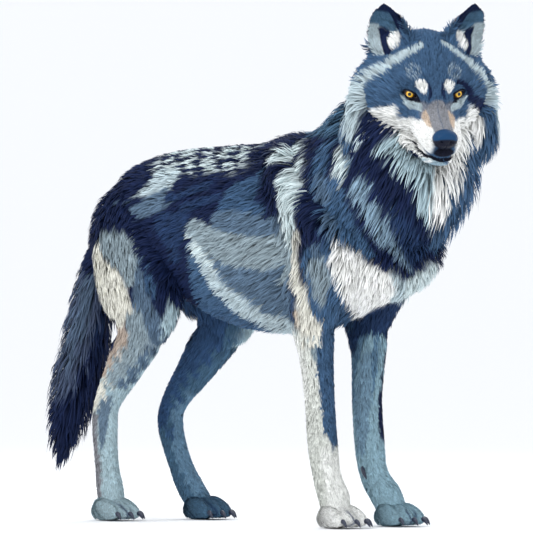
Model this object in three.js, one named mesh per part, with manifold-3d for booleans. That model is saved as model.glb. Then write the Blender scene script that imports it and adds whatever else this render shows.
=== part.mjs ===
// Timber wolf, standing, as a still life-size model. Units are millimetres and +Z is up.
// The wolf faces -Y with its left side at +X, and its head is turned to its right.
// Every solid reaches to the tips of the coat.
//
// The flesh is modelled whole, as a union of limbs. A limb is a sphere drawn out along a
// spine: each station gives a point of the spine and the half sizes of the section there.
// Thin cuts then part the whole into the head, neck, chest, belly, rump, tail and legs.

import * as THREE from "three";
import { mergeVertices } from "three/addons/utils/BufferGeometryUtils.js";
import Module from "manifold-3d";

const wasm = await Module();
wasm.setup();

// ---------------------------------------------------------------- driving sizes

const GAP = 0.3; // clear space between neighbouring nodes
const FAR = 1500; // larger than the animal, for cutting boxes
const FACET = 2.3; // unevenness that may be smoothed away where the limbs join
const FINE_FACET = 1.15; // and the same on the head and paws
const SLIVER = 0.13; // and where a node is cut

const WITHERS = 820; // height of the withers over the floor
const BACK_DIP = 32; // how far the middle of the back lies under the withers
const CROUP_DROP = 156; // how far the croup lies under the withers
const BRISKET = 398; // height of the lowest chest fur
const TUCK = 470; // height of the belly in front of the thighs
const CHEST_FRONT = -530; // foremost fur of the chest
const BUTTOCK = 344; // rearmost fur of the body

const HEAD_YAW = THREE.MathUtils.degToRad(-36);
const HEAD_PITCH = THREE.MathUtils.degToRad(20);
const HEAD_SIZE = 1.06; // of the sizes given in the head's own functions
const EYE_MIDDLE = new THREE.Vector3(-70, -630, 899); // point between the eyes

const EYE_SPREAD = 45; // from the middle plane to an eye's centre
const EYE_DEPTH = -2; // how far the eye's centre lies behind that point
const EYE_RADIUS = 12.5;

// Levels of the cuts across the legs, and the places of the cuts across the trunk.
const FORE_CUTS = { top: 398, wrist: 176, paw: 64 };
const HIND_CUTS = { top: 600, knee: 392, hock: 216, paw: 64 };
const CHEST_CUT = -95;
const RUMP_CUT = 150;
const TAIL_CUT = 346;
const EAR_CUT = 92; // in the head's own sizes
const INNER = 12; // the legs are cut off outside this distance from the middle plane
const THIGH_INNER = 47;
const FLANK = 260; // and inside this one
const FORE_ROWS = [-540, -200]; // from front to back, where the forelegs are cut
const HIND_ROWS = [20, TAIL_CUT];
const UNDER = -5; // below the floor
const SOLE = 0; // level of the flats that the wolf stands on

// The boxes that the head and trunk are cut out with: each reaches well past the flesh it
// takes, and is bounded by the nodes taken before it. The first two are in the head's own
// sizes, and the neck's is laid along the cut between the neck and the chest.
const EAR_COLUMNS = [16, 180]; // away from the middle plane
const EAR_ROWS = [20, 200];
const HEAD_WIDE = [-260, 260];
const HEAD_ROWS = [-260, 125];
const HEAD_FLOOR = -150;
const HEAD_TOP = 260;
const NECK_REGION = [-400, 400, -700, 700, 0, 900];
const TRUNK_WIDE = [-300, 300];
const TRUNK_FRONT = -700;
const TRUNK_LEVELS = [200, 900];
const RUMP_LEVELS = [300, 900];

const LEFT = 1;
const RIGHT = -1;
const nameOf = (side) => (side === LEFT ? "left" : "right");

// ---------------------------------------------------------------- colours

const COAT = { slate: 0x44607e, navy: 0x25395c, pale: 0xb9c8ce, grey: 0x8c9ba3, cream: 0xd0d2cb };
const NOSE_BLACK = 0x1c2438;
const AMBER = 0xd9a13a;
const CLAW_DARK = 0x20283a;

function finish(color, roughness) {
  return new THREE.MeshStandardMaterial({ color, roughness, metalness: 0 });
}

// ---------------------------------------------------------------- limbs

// One station: its place, and the section's half sizes to either side, upwards and downwards.
// On a leg or tail, which points down, upwards is to the front and downwards to the back.
function station(x, y, z, wide, up, down) {
  return { at: new THREE.Vector3(x, y, z), size: new THREE.Vector3(wide, up, down) };
}

// A closed limb from pole to pole of a sphere. roundness 2 gives an egg, 6 a tube with round ends.
// swell makes it larger all round, for the room that another node needs.
function limb(stations, { around = 16, along = 12, roundness = 4, side = [1, 0, 0], swell = 0 } = {}) {
  const spine = new THREE.CatmullRomCurve3(stations.map((s) => s.at), false, "catmullrom");
  const sizes = new THREE.CatmullRomCurve3(stations.map((s) => s.size), false, "catmullrom");
  const sphere = new THREE.SphereGeometry(1, around, along);
  const points = sphere.attributes.position;
  const hint = new THREE.Vector3(...side);
  const p = new THREE.Vector3();
  for (let i = 0; i < points.count; i += 1) {
    p.fromBufferAttribute(points, i);
    const t = THREE.MathUtils.clamp((1 - p.y) / 2, 0, 1);
    const ring = Math.hypot(p.x, p.z);
    const fill = Math.max(0, 1 - Math.abs(2 * t - 1) ** roundness) ** (1 / roundness);
    const across = ring > 1e-9 ? (fill * p.x) / ring : 0;
    const upright = ring > 1e-9 ? (fill * p.z) / ring : 0;
    const size = sizes.getPoint(t).addScalar(swell);
    const forward = spine.getPoint(Math.min(1, t + 1e-3)).sub(spine.getPoint(Math.max(0, t - 1e-3)));
    forward.normalize();
    const sideways = hint.clone().addScaledVector(forward, -hint.dot(forward)).normalize();
    const upward = forward.clone().cross(sideways);
    const place = spine.getPoint(t);
    place.addScaledVector(sideways, across * size.x);
    place.addScaledVector(upward, upright * (upright > 0 ? size.y : size.z));
    place.addScaledVector(forward, swell * (2 * t - 1));
    points.setXYZ(i, place.x, place.y, place.z);
  }
  return solid(sphere);
}

function ellipsoid(x, y, z, rx, ry, rz, around = 12, along = 8) {
  const sphere = new THREE.SphereGeometry(1, around, along);
  sphere.scale(rx, ry, rz).translate(x, y, z);
  return solid(sphere);
}

function box(x0, x1, y0, y1, z0, z1) {
  const shape = new THREE.BoxGeometry(x1 - x0, y1 - y0, z1 - z0);
  return shape.translate((x0 + x1) / 2, (y0 + y1) / 2, (z0 + z1) / 2);
}

// ---------------------------------------------------------------- booleans

// Turns a closed geometry into a solid, with its faces out.
function solid(geometry) {
  const bare = new THREE.BufferGeometry();
  bare.setAttribute("position", geometry.attributes.position);
  bare.setIndex(geometry.index);
  const merged = mergeVertices(bare, 1e-3);
  const triVerts = facesOut(merged.attributes.position.array, tidyFaces(merged.index.array));
  const vertProperties = new Float32Array(merged.attributes.position.array);
  return new wasm.Manifold(new wasm.Mesh({ numProp: 3, vertProperties, triVerts }));
}

// Leaves out the faces that a pole has closed to a line.
function tidyFaces(index) {
  const kept = [];
  for (let i = 0; i < index.length; i += 3) {
    const [a, b, c] = [index[i], index[i + 1], index[i + 2]];
    if (a !== b && b !== c && c !== a) kept.push(a, b, c);
  }
  return new Uint32Array(kept);
}

function facesOut(points, faces) {
  let volume = 0;
  const corner = (i) => new THREE.Vector3(points[3 * i], points[3 * i + 1], points[3 * i + 2]);
  for (let i = 0; i < faces.length; i += 3) {
    volume += corner(faces[i]).dot(corner(faces[i + 1]).cross(corner(faces[i + 2])));
  }
  if (volume < 0) {
    for (let i = 0; i < faces.length; i += 3) {
      [faces[i + 1], faces[i + 2]] = [faces[i + 2], faces[i + 1]];
    }
  }
  return faces;
}

function union(solids) {
  return solids.reduce((whole, next) => whole.add(next));
}

function placed(shape, matrix) {
  return shape.transform(matrix.elements);
}

function mesh(name, shape, color, roughness) {
  const { vertProperties, triVerts } = shape.simplify(SLIVER).getMesh();
  const geometry = new THREE.BufferGeometry();
  geometry.setAttribute("position", new THREE.BufferAttribute(new Float32Array(vertProperties), 3));
  geometry.setIndex(new THREE.BufferAttribute(new Uint32Array(triVerts), 1));
  geometry.computeVertexNormals();
  const node = new THREE.Mesh(geometry, finish(color, roughness));
  node.name = name;
  return node;
}

// ---------------------------------------------------------------- trunk, neck and tail

function trunk() {
  const middle = 608;
  const back = WITHERS - BACK_DIP - middle;
  return limb([
    station(0, BUTTOCK, 560, 62, 58, 70),
    station(0, 306, 592, 98, WITHERS - CROUP_DROP - 592, 116),
    station(0, 232, middle, 118, back - 38, 136),
    station(0, 130, middle, 126, back - 10, middle - TUCK),
    station(0, 10, middle, 136, back, middle - BRISKET - 24),
    station(0, -110, middle, 146, back + 10, middle - BRISKET),
    station(0, -225, middle, 147, WITHERS - middle, middle - BRISKET),
    station(0, -330, middle, 138, WITHERS - middle - 22, middle - BRISKET - 20),
    station(0, -425, 590, 126, 138, 158),
    station(0, CHEST_FRONT, 558, 104, 96, 100),
  ], { around: 18, along: 15, roundness: 5 });
}

function neck() {
  return limb([
    station(0, -150, 640, 90, 110, 110),
    station(0, -265, 655, 126, 164, 190),
    station(0, -375, 705, 142, 166, 200),
    station(-2, -470, 792, 146, 150, 196),
    station(-14, -545, 857, 130, 118, 162),
    station(-34, -605, 885, 90, 84, 104),
  ], { around: 17, along: 11, roundness: 4 });
}

function tail() {
  return limb([
    station(0, 270, 660, 40, 38, 38),
    station(0, 326, 622, 46, 42, 44),
    station(0, 372, 540, 54, 46, 50),
    station(0, 404, 430, 62, 56, 58),
    station(0, 430, 325, 68, 62, 64),
    station(0, 464, 224, 54, 48, 52),
    station(0, 492, 138, 18, 16, 18),
  ], { around: 12, along: 12, roundness: 5 });
}

// ---------------------------------------------------------------- legs

const LEGS = {
  fore_left: { side: LEFT, x: 80, elbow: -308, wrist: -316, paw: -396, scale: 1 },
  fore_right: { side: RIGHT, x: 80, elbow: -318, wrist: -332, paw: -382, scale: 1 },
  hind_left: { side: LEFT, x: 90, hip: 210, knee: 84, hock: 258, paw: 158, scale: 0.92 },
  hind_right: { side: RIGHT, x: 92, hip: 214, knee: 122, hock: 278, paw: 250, scale: 0.92 },
};

const isFore = (name) => name.startsWith("fore");

// The muscle over the shoulder blade and upper arm.
function shoulder({ side, elbow }) {
  return limb([
    station(side * 70, -190, 772, 34, 50, 50),
    station(side * 88, -268, 680, 54, 84, 90),
    station(side * 95, elbow - 42, 580, 56, 88, 96),
    station(side * 93, elbow - 16, 490, 50, 70, 82),
    station(side * 89, elbow - 2, 415, 38, 44, 56),
    station(side * 86, elbow, 350, 28, 30, 38),
  ], { around: 12, along: 9, roundness: 4 });
}

function foreleg({ side, elbow, wrist, paw, x }) {
  return limb([
    station(side * 92, elbow - 6, 520, 44, 52, 62),
    station(side * 89, elbow, 440, 41, 46, 58),
    station(side * 85, elbow - 4, 355, 34, 36, 44),
    station(side * 81, wrist + 6, 265, 32, 31, 36),
    station(side * x, wrist, 175, 33, 32, 33),
    station(side * x, wrist - 12, 110, 32, 30, 31),
    station(side * x, (wrist + paw) / 2 - 6, 62, 34, 34, 32),
    station(side * x, paw + 8, 27, 32, 30, 34),
  ], { around: 10, along: 14, roundness: 7 });
}

function thigh({ side, hip, knee }) {
  return limb([
    station(side * 52, hip + 12, 700, 44, 46, 50),
    station(side * 78, hip + 12, 626, 60, 84, 94),
    station(side * 94, (hip + knee) / 2 + 20, 540, 60, 112, 110),
    station(side * 104, knee + 38, 450, 49, 102, 98),
    station(side * 100, knee + 60, 380, 36, 62, 62),
  ], { around: 14, along: 9, roundness: 4 });
}

function hindLeg({ side, knee, hock, paw, x }) {
  const shank = (t) => knee + (hock - knee) * t;
  const instep = (t) => hock + (paw - hock) * t;
  return limb([
    station(side * 104, knee, 470, 46, 50, 70),
    station(side * 102, shank(0.2), 400, 42, 50, 68),
    station(side * 97, shank(0.58), 320, 33, 40, 50),
    station(side * 92, shank(0.93), 250, 25, 31, 34),
    station(side * 89, hock, 200, 25, 29, 34),
    station(side * x, instep(0.22), 125, 26, 26, 28),
    station(side * x, instep(0.58), 62, 29, 29, 29),
    station(side * x, paw + 7, 27, 29, 28, 32),
  ], { around: 10, along: 14, roundness: 7 });
}

// Four toes spread over the front of the foot: two long ones in the middle, two short outside.
const TOES = [
  { name: "outer", x: 31, reach: 20, turn: 0.16 },
  { name: "middle_outer", x: 12, reach: 36, turn: 0.04 },
  { name: "middle_inner", x: -12, reach: 36, turn: -0.04 },
  { name: "inner", x: -31, reach: 20, turn: -0.16 },
];

function toePoint(leg, toe, reach, z) {
  const x = leg.side * (leg.x + leg.scale * (toe.x + Math.sin(toe.turn) * reach));
  return [x, leg.paw - reach * Math.cos(toe.turn), z];
}

function paw(leg) {
  const heel = ellipsoid(leg.side * leg.x, leg.paw + 18, 20, 34 * leg.scale, 36, 28, 10, 6);
  const toes = TOES.map((toe) => limb([
    station(...toePoint(leg, toe, -30, 34), 12, 14, 20),
    station(...toePoint(leg, toe, toe.reach - 24, 32), 15 * leg.scale, 17, 28),
    station(...toePoint(leg, toe, toe.reach, 22), 13.5 * leg.scale, 15, 24),
    station(...toePoint(leg, toe, toe.reach + 17, 12), 9, 9, 12),
  ], { around: 6, along: 5, roundness: 4 }));
  return union([heel, ...toes]);
}

// A claw starts just clear of the tip of its toe.
function claw(leg, toe) {
  return limb([
    station(...toePoint(leg, toe, toe.reach + 17.8, 17), 4.2, 5.5, 5.5),
    station(...toePoint(leg, toe, toe.reach + 26, 14), 3.4, 4.4, 4.4),
    station(...toePoint(leg, toe, toe.reach + 34, 4), 1.2, 1.4, 1.4),
  ], { around: 4, along: 4, roundness: 4 });
}

// The small claw on the inner side of the wrist.
function dewclaw({ side, x, wrist }, swell = 0) {
  const inner = x - 26;
  return limb([
    station(side * inner, wrist - 4, 124, 4, 5, 5),
    station(side * (inner - 6), wrist - 13, 111, 3.6, 4.4, 4.4),
    station(side * (inner - 5), wrist - 20, 97, 1.2, 1.2, 1.2),
  ], { around: 4, along: 4, roundness: 4, swell });
}

// ---------------------------------------------------------------- head

// The head is built about the point between the eyes, facing -Y, and then turned and placed.
const HEAD = new THREE.Matrix4()
  .makeRotationZ(HEAD_YAW)
  .multiply(new THREE.Matrix4().makeRotationX(HEAD_PITCH))
  .scale(new THREE.Vector3(HEAD_SIZE, HEAD_SIZE, HEAD_SIZE))
  .setPosition(EYE_MIDDLE);

function skull() {
  return limb([
    station(0, 178, -26, 60, 60, 70),
    station(0, 122, -8, 86, 94, 100),
    station(0, 70, 2, 92, 89, 96),
    station(0, 28, 2, 80, 64, 76),
    station(0, -10, -10, 60, 35, 56),
    station(0, -48, -28, 44, 23, 40),
  ], { around: 15, along: 10, roundness: 4 });
}

function muzzle() {
  return limb([
    station(0, 20, -34, 52, 31, 44),
    station(0, -30, -38, 48, 29, 47),
    station(0, -80, -48, 43, 26, 45),
    station(0, -120, -54, 37, 23, 35),
    station(0, -143, -58, 27, 18, 24),
  ], { around: 12, along: 8, roundness: 5 });
}

function lowerJaw(swell = 0) {
  return limb([
    station(0, 40, -104, 44, 26, 30),
    station(0, -14, -102, 38, 18, 25),
    station(0, -70, -100, 31, 13, 19),
    station(0, -108, -94, 25, 11, 15),
    station(0, -127, -91, 16, 6, 9),
  ], { around: 10, along: 8, roundness: 5, swell });
}

// The flesh and fur of the cheek, from the corner of the mouth out to the ruff.
function cheek(side) {
  return limb([
    station(side * 18, -46, -50, 20, 22, 24),
    station(side * 36, -4, -42, 32, 40, 42),
    station(side * 56, 36, -28, 44, 62, 62),
    station(side * 76, 84, -20, 50, 80, 78),
    station(side * 84, 136, -26, 40, 64, 64),
  ], { around: 9, along: 7, roundness: 4 });
}

// The thick fur that frames the face, from below the ear to the throat.
function ruff(side) {
  return limb([
    station(side * 70, 106, 56, 20, 26, 32),
    station(side * 98, 100, 2, 32, 42, 50),
    station(side * 112, 90, -58, 38, 46, 54),
    station(side * 104, 78, -124, 48, 50, 54),
    station(side * 40, 60, -154, 36, 36, 40),
  ], { around: 9, along: 7, roundness: 4 });
}

function ear(side) {
  const facing = [1, side * 0.42, 0];
  const shell = limb([
    station(side * 58, 92, 44, 46, 24, 26),
    station(side * 68, 92, 72, 49, 19, 24),
    station(side * 78, 92, 100, 42, 14, 18),
    station(side * 85, 91, 124, 31, 9, 11),
    station(side * 88, 90, 140, 16, 5, 6),
    station(side * 90, 90, 149, 6, 4, 4),
  ], { around: 10, along: 9, roundness: 6, side: facing });
  const hollow = limb([
    station(side * 64, 70, 60, 20, 12, 12),
    station(side * 70, 72, 82, 31, 15, 15),
    station(side * 77, 77, 104, 26, 12, 12),
    station(side * 84, 82, 124, 15, 8, 7),
    station(side * 88, 84, 137, 5, 3, 3),
  ], { around: 8, along: 6, roundness: 4, side: facing });
  return shell.subtract(hollow);
}

function eyeball(side, swell = 0) {
  const radius = EYE_RADIUS + swell;
  return ellipsoid(side * EYE_SPREAD, EYE_DEPTH, 0, radius, radius, radius, 10, 7);
}

// The almond opening between the lids, cut in from the front.
function eyeOpening(side) {
  return limb([
    station(side * 27, -26, -6, 3, 3, 3),
    station(side * 38, -20, -1, 6, 8, 8),
    station(side * 50, -14, 2, 6, 9, 9),
    station(side * 64, -4, 7, 3, 3, 3),
  ], { around: 8, along: 6, roundness: 2.4, side: [0, 1, 0] });
}

function nose(swell = 0) {
  return limb([
    station(0, -118, -38, 15, 11, 13),
    station(0, -134, -41, 24, 17, 20),
    station(0, -147, -43, 23, 17, 20),
    station(0, -157, -46, 14, 10, 12),
  ], { around: 12, along: 7, roundness: 4, swell });
}

// ---------------------------------------------------------------- parting the whole

// Nodes are taken out of the whole one by one, each from a region that is a box, and the
// region's surroundings of one gap are lost with it.
class Parting {
  constructor(whole) {
    this.rest = whole;
  }

  take([x0, x1, y0, y1, z0, z1], matrix = new THREE.Matrix4()) {
    const region = solid(box(x0, x1, y0, y1, z0, z1));
    const grown = solid(box(x0 - GAP, x1 + GAP, y0 - GAP, y1 + GAP, z0 - GAP, z1 + GAP));
    const piece = this.rest.intersect(placed(region, matrix));
    this.rest = this.rest.subtract(placed(grown, matrix));
    return piece;
  }

  makeRoom(shape) {
    this.rest = this.rest.subtract(shape);
  }
}

// The plane between the neck and the chest, through the withers and the front of the chest.
const NECK_CUT = new THREE.Matrix4()
  .makeRotationX(THREE.MathUtils.degToRad(44))
  .setPosition(0, -335, 680);

// ---------------------------------------------------------------- assembly

const wolf = new THREE.Group();

function add(name, shape, color, roughness = 0.9) {
  wolf.add(mesh(name, shape, color, roughness));
}

function wholeBody() {
  const body = [trunk(), neck(), tail()];
  for (const [name, leg] of Object.entries(LEGS)) {
    if (isFore(name)) body.push(shoulder(leg), foreleg(leg));
    else body.push(thigh(leg), hindLeg(leg));
  }
  const paws = Object.values(LEGS).map(paw);
  const head = [skull(), muzzle()];
  for (const side of [LEFT, RIGHT]) head.push(cheek(side), ruff(side), ear(side));
  const whole = union(body).simplify(FACET)
    .add(union(paws).simplify(FINE_FACET))
    .add(placed(union(head).simplify(FINE_FACET), HEAD));
  return whole.intersect(solid(box(-FAR, FAR, -FAR, FAR, SOLE, FAR)));
}

// Eyes, nose, lower jaw and claws keep their own shapes, and the flesh makes room for them.
function addDetails(parting) {
  for (const side of [LEFT, RIGHT]) {
    add(`eye_${nameOf(side)}`, placed(eyeball(side), HEAD), AMBER, 0.15);
    parting.makeRoom(placed(eyeball(side, GAP).add(eyeOpening(side)), HEAD));
  }
  parting.makeRoom(placed(nose(GAP), HEAD));
  add("nose", placed(nose(), HEAD), NOSE_BLACK, 0.4);
  parting.makeRoom(placed(lowerJaw(GAP), HEAD));
  add("lower_jaw", placed(lowerJaw(), HEAD), COAT.pale);
  for (const [name, leg] of Object.entries(LEGS)) {
    for (const toe of TOES) {
      add(`claw_${name}_${toe.name}`, claw(leg, toe), CLAW_DARK, 0.4);
    }
    if (isFore(name)) {
      parting.makeRoom(dewclaw(leg, GAP));
      add(`claw_${name}_dew`, dewclaw(leg), CLAW_DARK, 0.4);
    }
  }
}

// The range of x on one side, from its inner to its outer distance off the middle plane.
function columnsOf(side, [inner, outer]) {
  return side === LEFT ? [inner, outer] : [-outer, -inner];
}

function addLegs(parting) {
  for (const [name, { side }] of Object.entries(LEGS)) {
    const columns = columnsOf(side, [INNER, FLANK]);
    const thighs = columnsOf(side, [THIGH_INNER, FLANK]);
    const rows = isFore(name) ? FORE_ROWS : HIND_ROWS;
    const cut = (node, across, bottom, top, color) => {
      add(`${name}_${node}`, parting.take([...across, ...rows, bottom, top]), color);
    };
    if (isFore(name)) {
      cut("paw", columns, UNDER, FORE_CUTS.paw, COAT.pale);
      cut("pastern", columns, FORE_CUTS.paw, FORE_CUTS.wrist, COAT.pale);
      cut("forearm", columns, FORE_CUTS.wrist, FORE_CUTS.top, COAT.slate);
    } else {
      cut("paw", columns, UNDER, HIND_CUTS.paw, COAT.pale);
      cut("instep", columns, HIND_CUTS.paw, HIND_CUTS.hock, COAT.pale);
      cut("shank", columns, HIND_CUTS.hock, HIND_CUTS.knee, COAT.cream);
      cut("thigh", thighs, HIND_CUTS.knee, HIND_CUTS.top, COAT.cream);
    }
  }
}

function addBody(parting) {
  for (const side of [LEFT, RIGHT]) {
    const columns = columnsOf(side, EAR_COLUMNS);
    const region = [...columns, ...EAR_ROWS, EAR_CUT, HEAD_TOP];
    add(`ear_${nameOf(side)}`, parting.take(region, HEAD), COAT.navy);
  }
  const cut = (name, front, rear, levels, color) => {
    add(name, parting.take([...TRUNK_WIDE, front, rear, ...levels]), color);
  };
  add("head", parting.take([...HEAD_WIDE, ...HEAD_ROWS, HEAD_FLOOR, HEAD_TOP], HEAD), COAT.slate);
  add("neck", parting.take(NECK_REGION, NECK_CUT), COAT.navy);
  cut("chest", TRUNK_FRONT, CHEST_CUT, TRUNK_LEVELS, COAT.slate);
  cut("belly", CHEST_CUT, RUMP_CUT, TRUNK_LEVELS, COAT.grey);
  cut("rump", RUMP_CUT, TAIL_CUT, RUMP_LEVELS, COAT.slate);
  add("tail", parting.rest, COAT.navy);
}

const parting = new Parting(wholeBody());
addDetails(parting);
addLegs(parting);
addBody(parting);

// The origin is at the middle of the bounding box, on the floor.
const bounds = new THREE.Box3().setFromObject(wolf);
const middle = bounds.getCenter(new THREE.Vector3());
wolf.position.set(-middle.x, -middle.y, -bounds.min.z);

export default wolf;
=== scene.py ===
"""Timber wolf, standing, as a still life-size model: skin, coat, eyes, nose and claws.

Lengths are metres in the row's frame: +Z is up, the wolf faces -Y and its left side is at +X.
The skin is a union of limbs. A limb is a profile carried along a spine, and its sections lie
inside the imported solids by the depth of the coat. The coat is made of thin mesh tufts that root
on the skin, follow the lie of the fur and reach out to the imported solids' faces.
"""

from __future__ import annotations

import logging
import math
from dataclasses import dataclass, field
from enum import Enum
from typing import Iterable, Sequence

import bmesh
import bpy
import numpy as np
from mathutils import Matrix, Vector


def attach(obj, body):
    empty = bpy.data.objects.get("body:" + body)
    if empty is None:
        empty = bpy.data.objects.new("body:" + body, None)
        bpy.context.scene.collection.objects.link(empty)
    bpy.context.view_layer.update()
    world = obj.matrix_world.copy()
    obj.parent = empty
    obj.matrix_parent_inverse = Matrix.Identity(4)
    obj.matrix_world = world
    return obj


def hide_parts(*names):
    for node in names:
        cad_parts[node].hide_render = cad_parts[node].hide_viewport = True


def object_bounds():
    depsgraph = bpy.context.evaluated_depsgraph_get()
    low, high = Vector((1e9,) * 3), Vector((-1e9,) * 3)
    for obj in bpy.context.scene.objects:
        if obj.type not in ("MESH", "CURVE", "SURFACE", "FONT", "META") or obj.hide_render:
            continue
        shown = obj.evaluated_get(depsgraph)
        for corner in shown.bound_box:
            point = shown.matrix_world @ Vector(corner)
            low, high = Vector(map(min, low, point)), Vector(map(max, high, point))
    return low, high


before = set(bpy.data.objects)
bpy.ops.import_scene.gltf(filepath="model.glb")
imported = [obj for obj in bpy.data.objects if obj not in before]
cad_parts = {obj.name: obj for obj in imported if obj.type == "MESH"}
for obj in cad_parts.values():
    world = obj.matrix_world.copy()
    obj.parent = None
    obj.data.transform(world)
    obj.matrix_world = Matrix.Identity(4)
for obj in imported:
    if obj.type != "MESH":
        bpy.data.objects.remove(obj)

CAD_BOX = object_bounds()

logging.basicConfig(level=logging.INFO, format="%(message)s")
log = logging.getLogger("wolf")

Array = np.ndarray
Piece = bpy.types.Object
MM = 0.001
BODY = "root"
SEED = 20  # of every random draw

# ---- placing

# Sizes are the body's own millimetres, and the head's are its own too, unless they say metres.
SHIFT = np.array([5.509, 120.297, 0.0]) * MM  # from the sizes' own origin to the row's
HEAD_YAW = math.radians(-36)
HEAD_PITCH = math.radians(20)
HEAD_SIZE = 1.06
EYE_MIDDLE = np.array([-70.0, -630.0, 899.0])
EYE_SPREAD = 45.0  # from the middle plane to an eye's centre
EYE_DEPTH = -2.0  # the y of an eye's centre
EYE_RADIUS = 12.5
EYE_BACK = -14.0  # the skin behind this, along the gaze, is left as it is
EYE_REACH = 34.0  # and so is the skin farther from the gaze than this
SKIN_FLOOR = 0.0006  # metres over the floor, where the soles lie
TUFT_FLOOR = 0.0008  # metres over the floor, where the lowest tufts are cut
LEVEL_UP = (0.94, 0.342)  # shares of the head's z and y in its height seen level from the front
QUARTER = np.array([0.682, -0.731])  # the quarter view's rightward direction in x and y


class Side(Enum):
    """The wolf's own left and right."""

    LEFT = 1
    RIGHT = -1

    @property
    def word(self) -> str:
        """The side's name in lower case."""
        return self.name.lower()


def head_matrix() -> Array:
    """The 4x4 matrix from the head's own millimetres to the body's millimetres."""
    turn = Matrix.Rotation(HEAD_YAW, 4, "Z") @ Matrix.Rotation(HEAD_PITCH, 4, "X")
    matrix = np.array(turn) @ np.diag([HEAD_SIZE, HEAD_SIZE, HEAD_SIZE, 1.0])
    matrix[:3, 3] = EYE_MIDDLE
    return matrix


HEAD = head_matrix()


def to_row(points: Array, matrix: Array | None = None) -> Array:
    """Millimetres to metres in the row's frame.

    Args:
        points: N by 3 points in the body's millimetres, or the head's with its matrix.
        matrix: the 4x4 matrix that places them in the body, if any.

    Returns:
        N by 3 points in metres.
    """
    points = np.asarray(points, float)
    if matrix is not None:
        points = points @ matrix[:3, :3].T + matrix[:3, 3]
    return points * MM + SHIFT


def to_body(points: Array) -> Array:
    """Metres in the row's frame to the body's millimetres."""
    return (points - SHIFT) / MM


def to_head(points: Array) -> Array:
    """Metres in the row's frame to the head's own millimetres."""
    return (to_body(points) - HEAD[:3, 3]) @ np.linalg.inv(HEAD[:3, :3]).T


def front_view(head: Array) -> Array:
    """Head points seen level from the front: x, and height over the eyes' middle."""
    x, y, z = head.T
    return np.stack([x, LEVEL_UP[0] * z + LEVEL_UP[1] * y], 1)


def unit(vectors: Array) -> Array:
    """The vectors, each divided by its length."""
    return vectors / np.maximum(np.linalg.norm(vectors, axis=-1, keepdims=True), 1e-12)


def smooth(x: Array, low: float, high: float) -> Array:
    """0 under low, 1 over high, and a smooth cubic step between."""
    t = np.clip((x - low) / (high - low), 0.0, 1.0)
    return t * t * (3.0 - 2.0 * t)


def fade(x: Array, low: float, high: float) -> Array:
    """1 under low, 0 over high, and the same step between."""
    return 1 - smooth(x, low, high)


def bell(*aways: Array) -> Array:
    """1 where every distance is 0, falling smoothly to 0.37 where one of them is 1."""
    return np.exp(-sum(away**2 for away in aways))


def to_line(points: Array, start: Array, end: Array) -> tuple[Array, Array]:
    """The share along a straight line that lies nearest to each point, and the distance to it."""
    run, away = end - start, points - start
    share = np.clip(away @ run / (run @ run), 0, 1)
    return share, np.linalg.norm(away - share[:, None] * run, axis=1)


def lattice(rings: int, around: int) -> tuple[Array, Array]:
    """Faces of a closed form made of rings of points, followed by the middles of its two ends.

    Args:
        rings: the number of rings.
        around: points round each ring.

    Returns:
        The quads between neighbouring rings, and the triangles from the first and the last ring
        to the two middles.
    """
    ring = np.arange(around)
    after = np.roll(ring, -1)
    row = np.arange(rings - 1)[:, None] * around
    quads = np.stack([row + ring, row + after, row + after + around, row + ring + around], -1)
    last, middle = (rings - 1) * around, np.full(around, rings * around)
    caps = np.vstack([np.stack([after, ring, middle], 1),
                      np.stack([last + ring, last + after, middle + 1], 1)])
    return quads.reshape(-1, 4), caps


def joined(forms: Sequence[tuple[Array, Array, Array]]) -> tuple[Array, Array, Array]:
    """Several closed forms as one: each is its points, quads and triangles."""
    points, quads, caps = zip(*forms)
    first = np.cumsum([0] + [len(part) for part in points[:-1]])
    return (np.vstack(points), np.vstack([part + k for part, k in zip(quads, first)]),
            np.vstack([part + k for part, k in zip(caps, first)]))


# ---- limbs


class Flow(Enum):
    """Which way the coat lies along a limb's spine."""

    AHEAD = 1
    BACK = -1


@dataclass(frozen=True)
class Station:
    """One place on a limb's spine, in millimetres.

    wide, up and down are the section's half sizes out to the tips of the coat. coat is the
    depth from the skin to those tips, and hair the length of the tufts.
    """

    x: float
    y: float
    z: float
    wide: float
    up: float
    down: float
    coat: float
    hair: float


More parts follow.
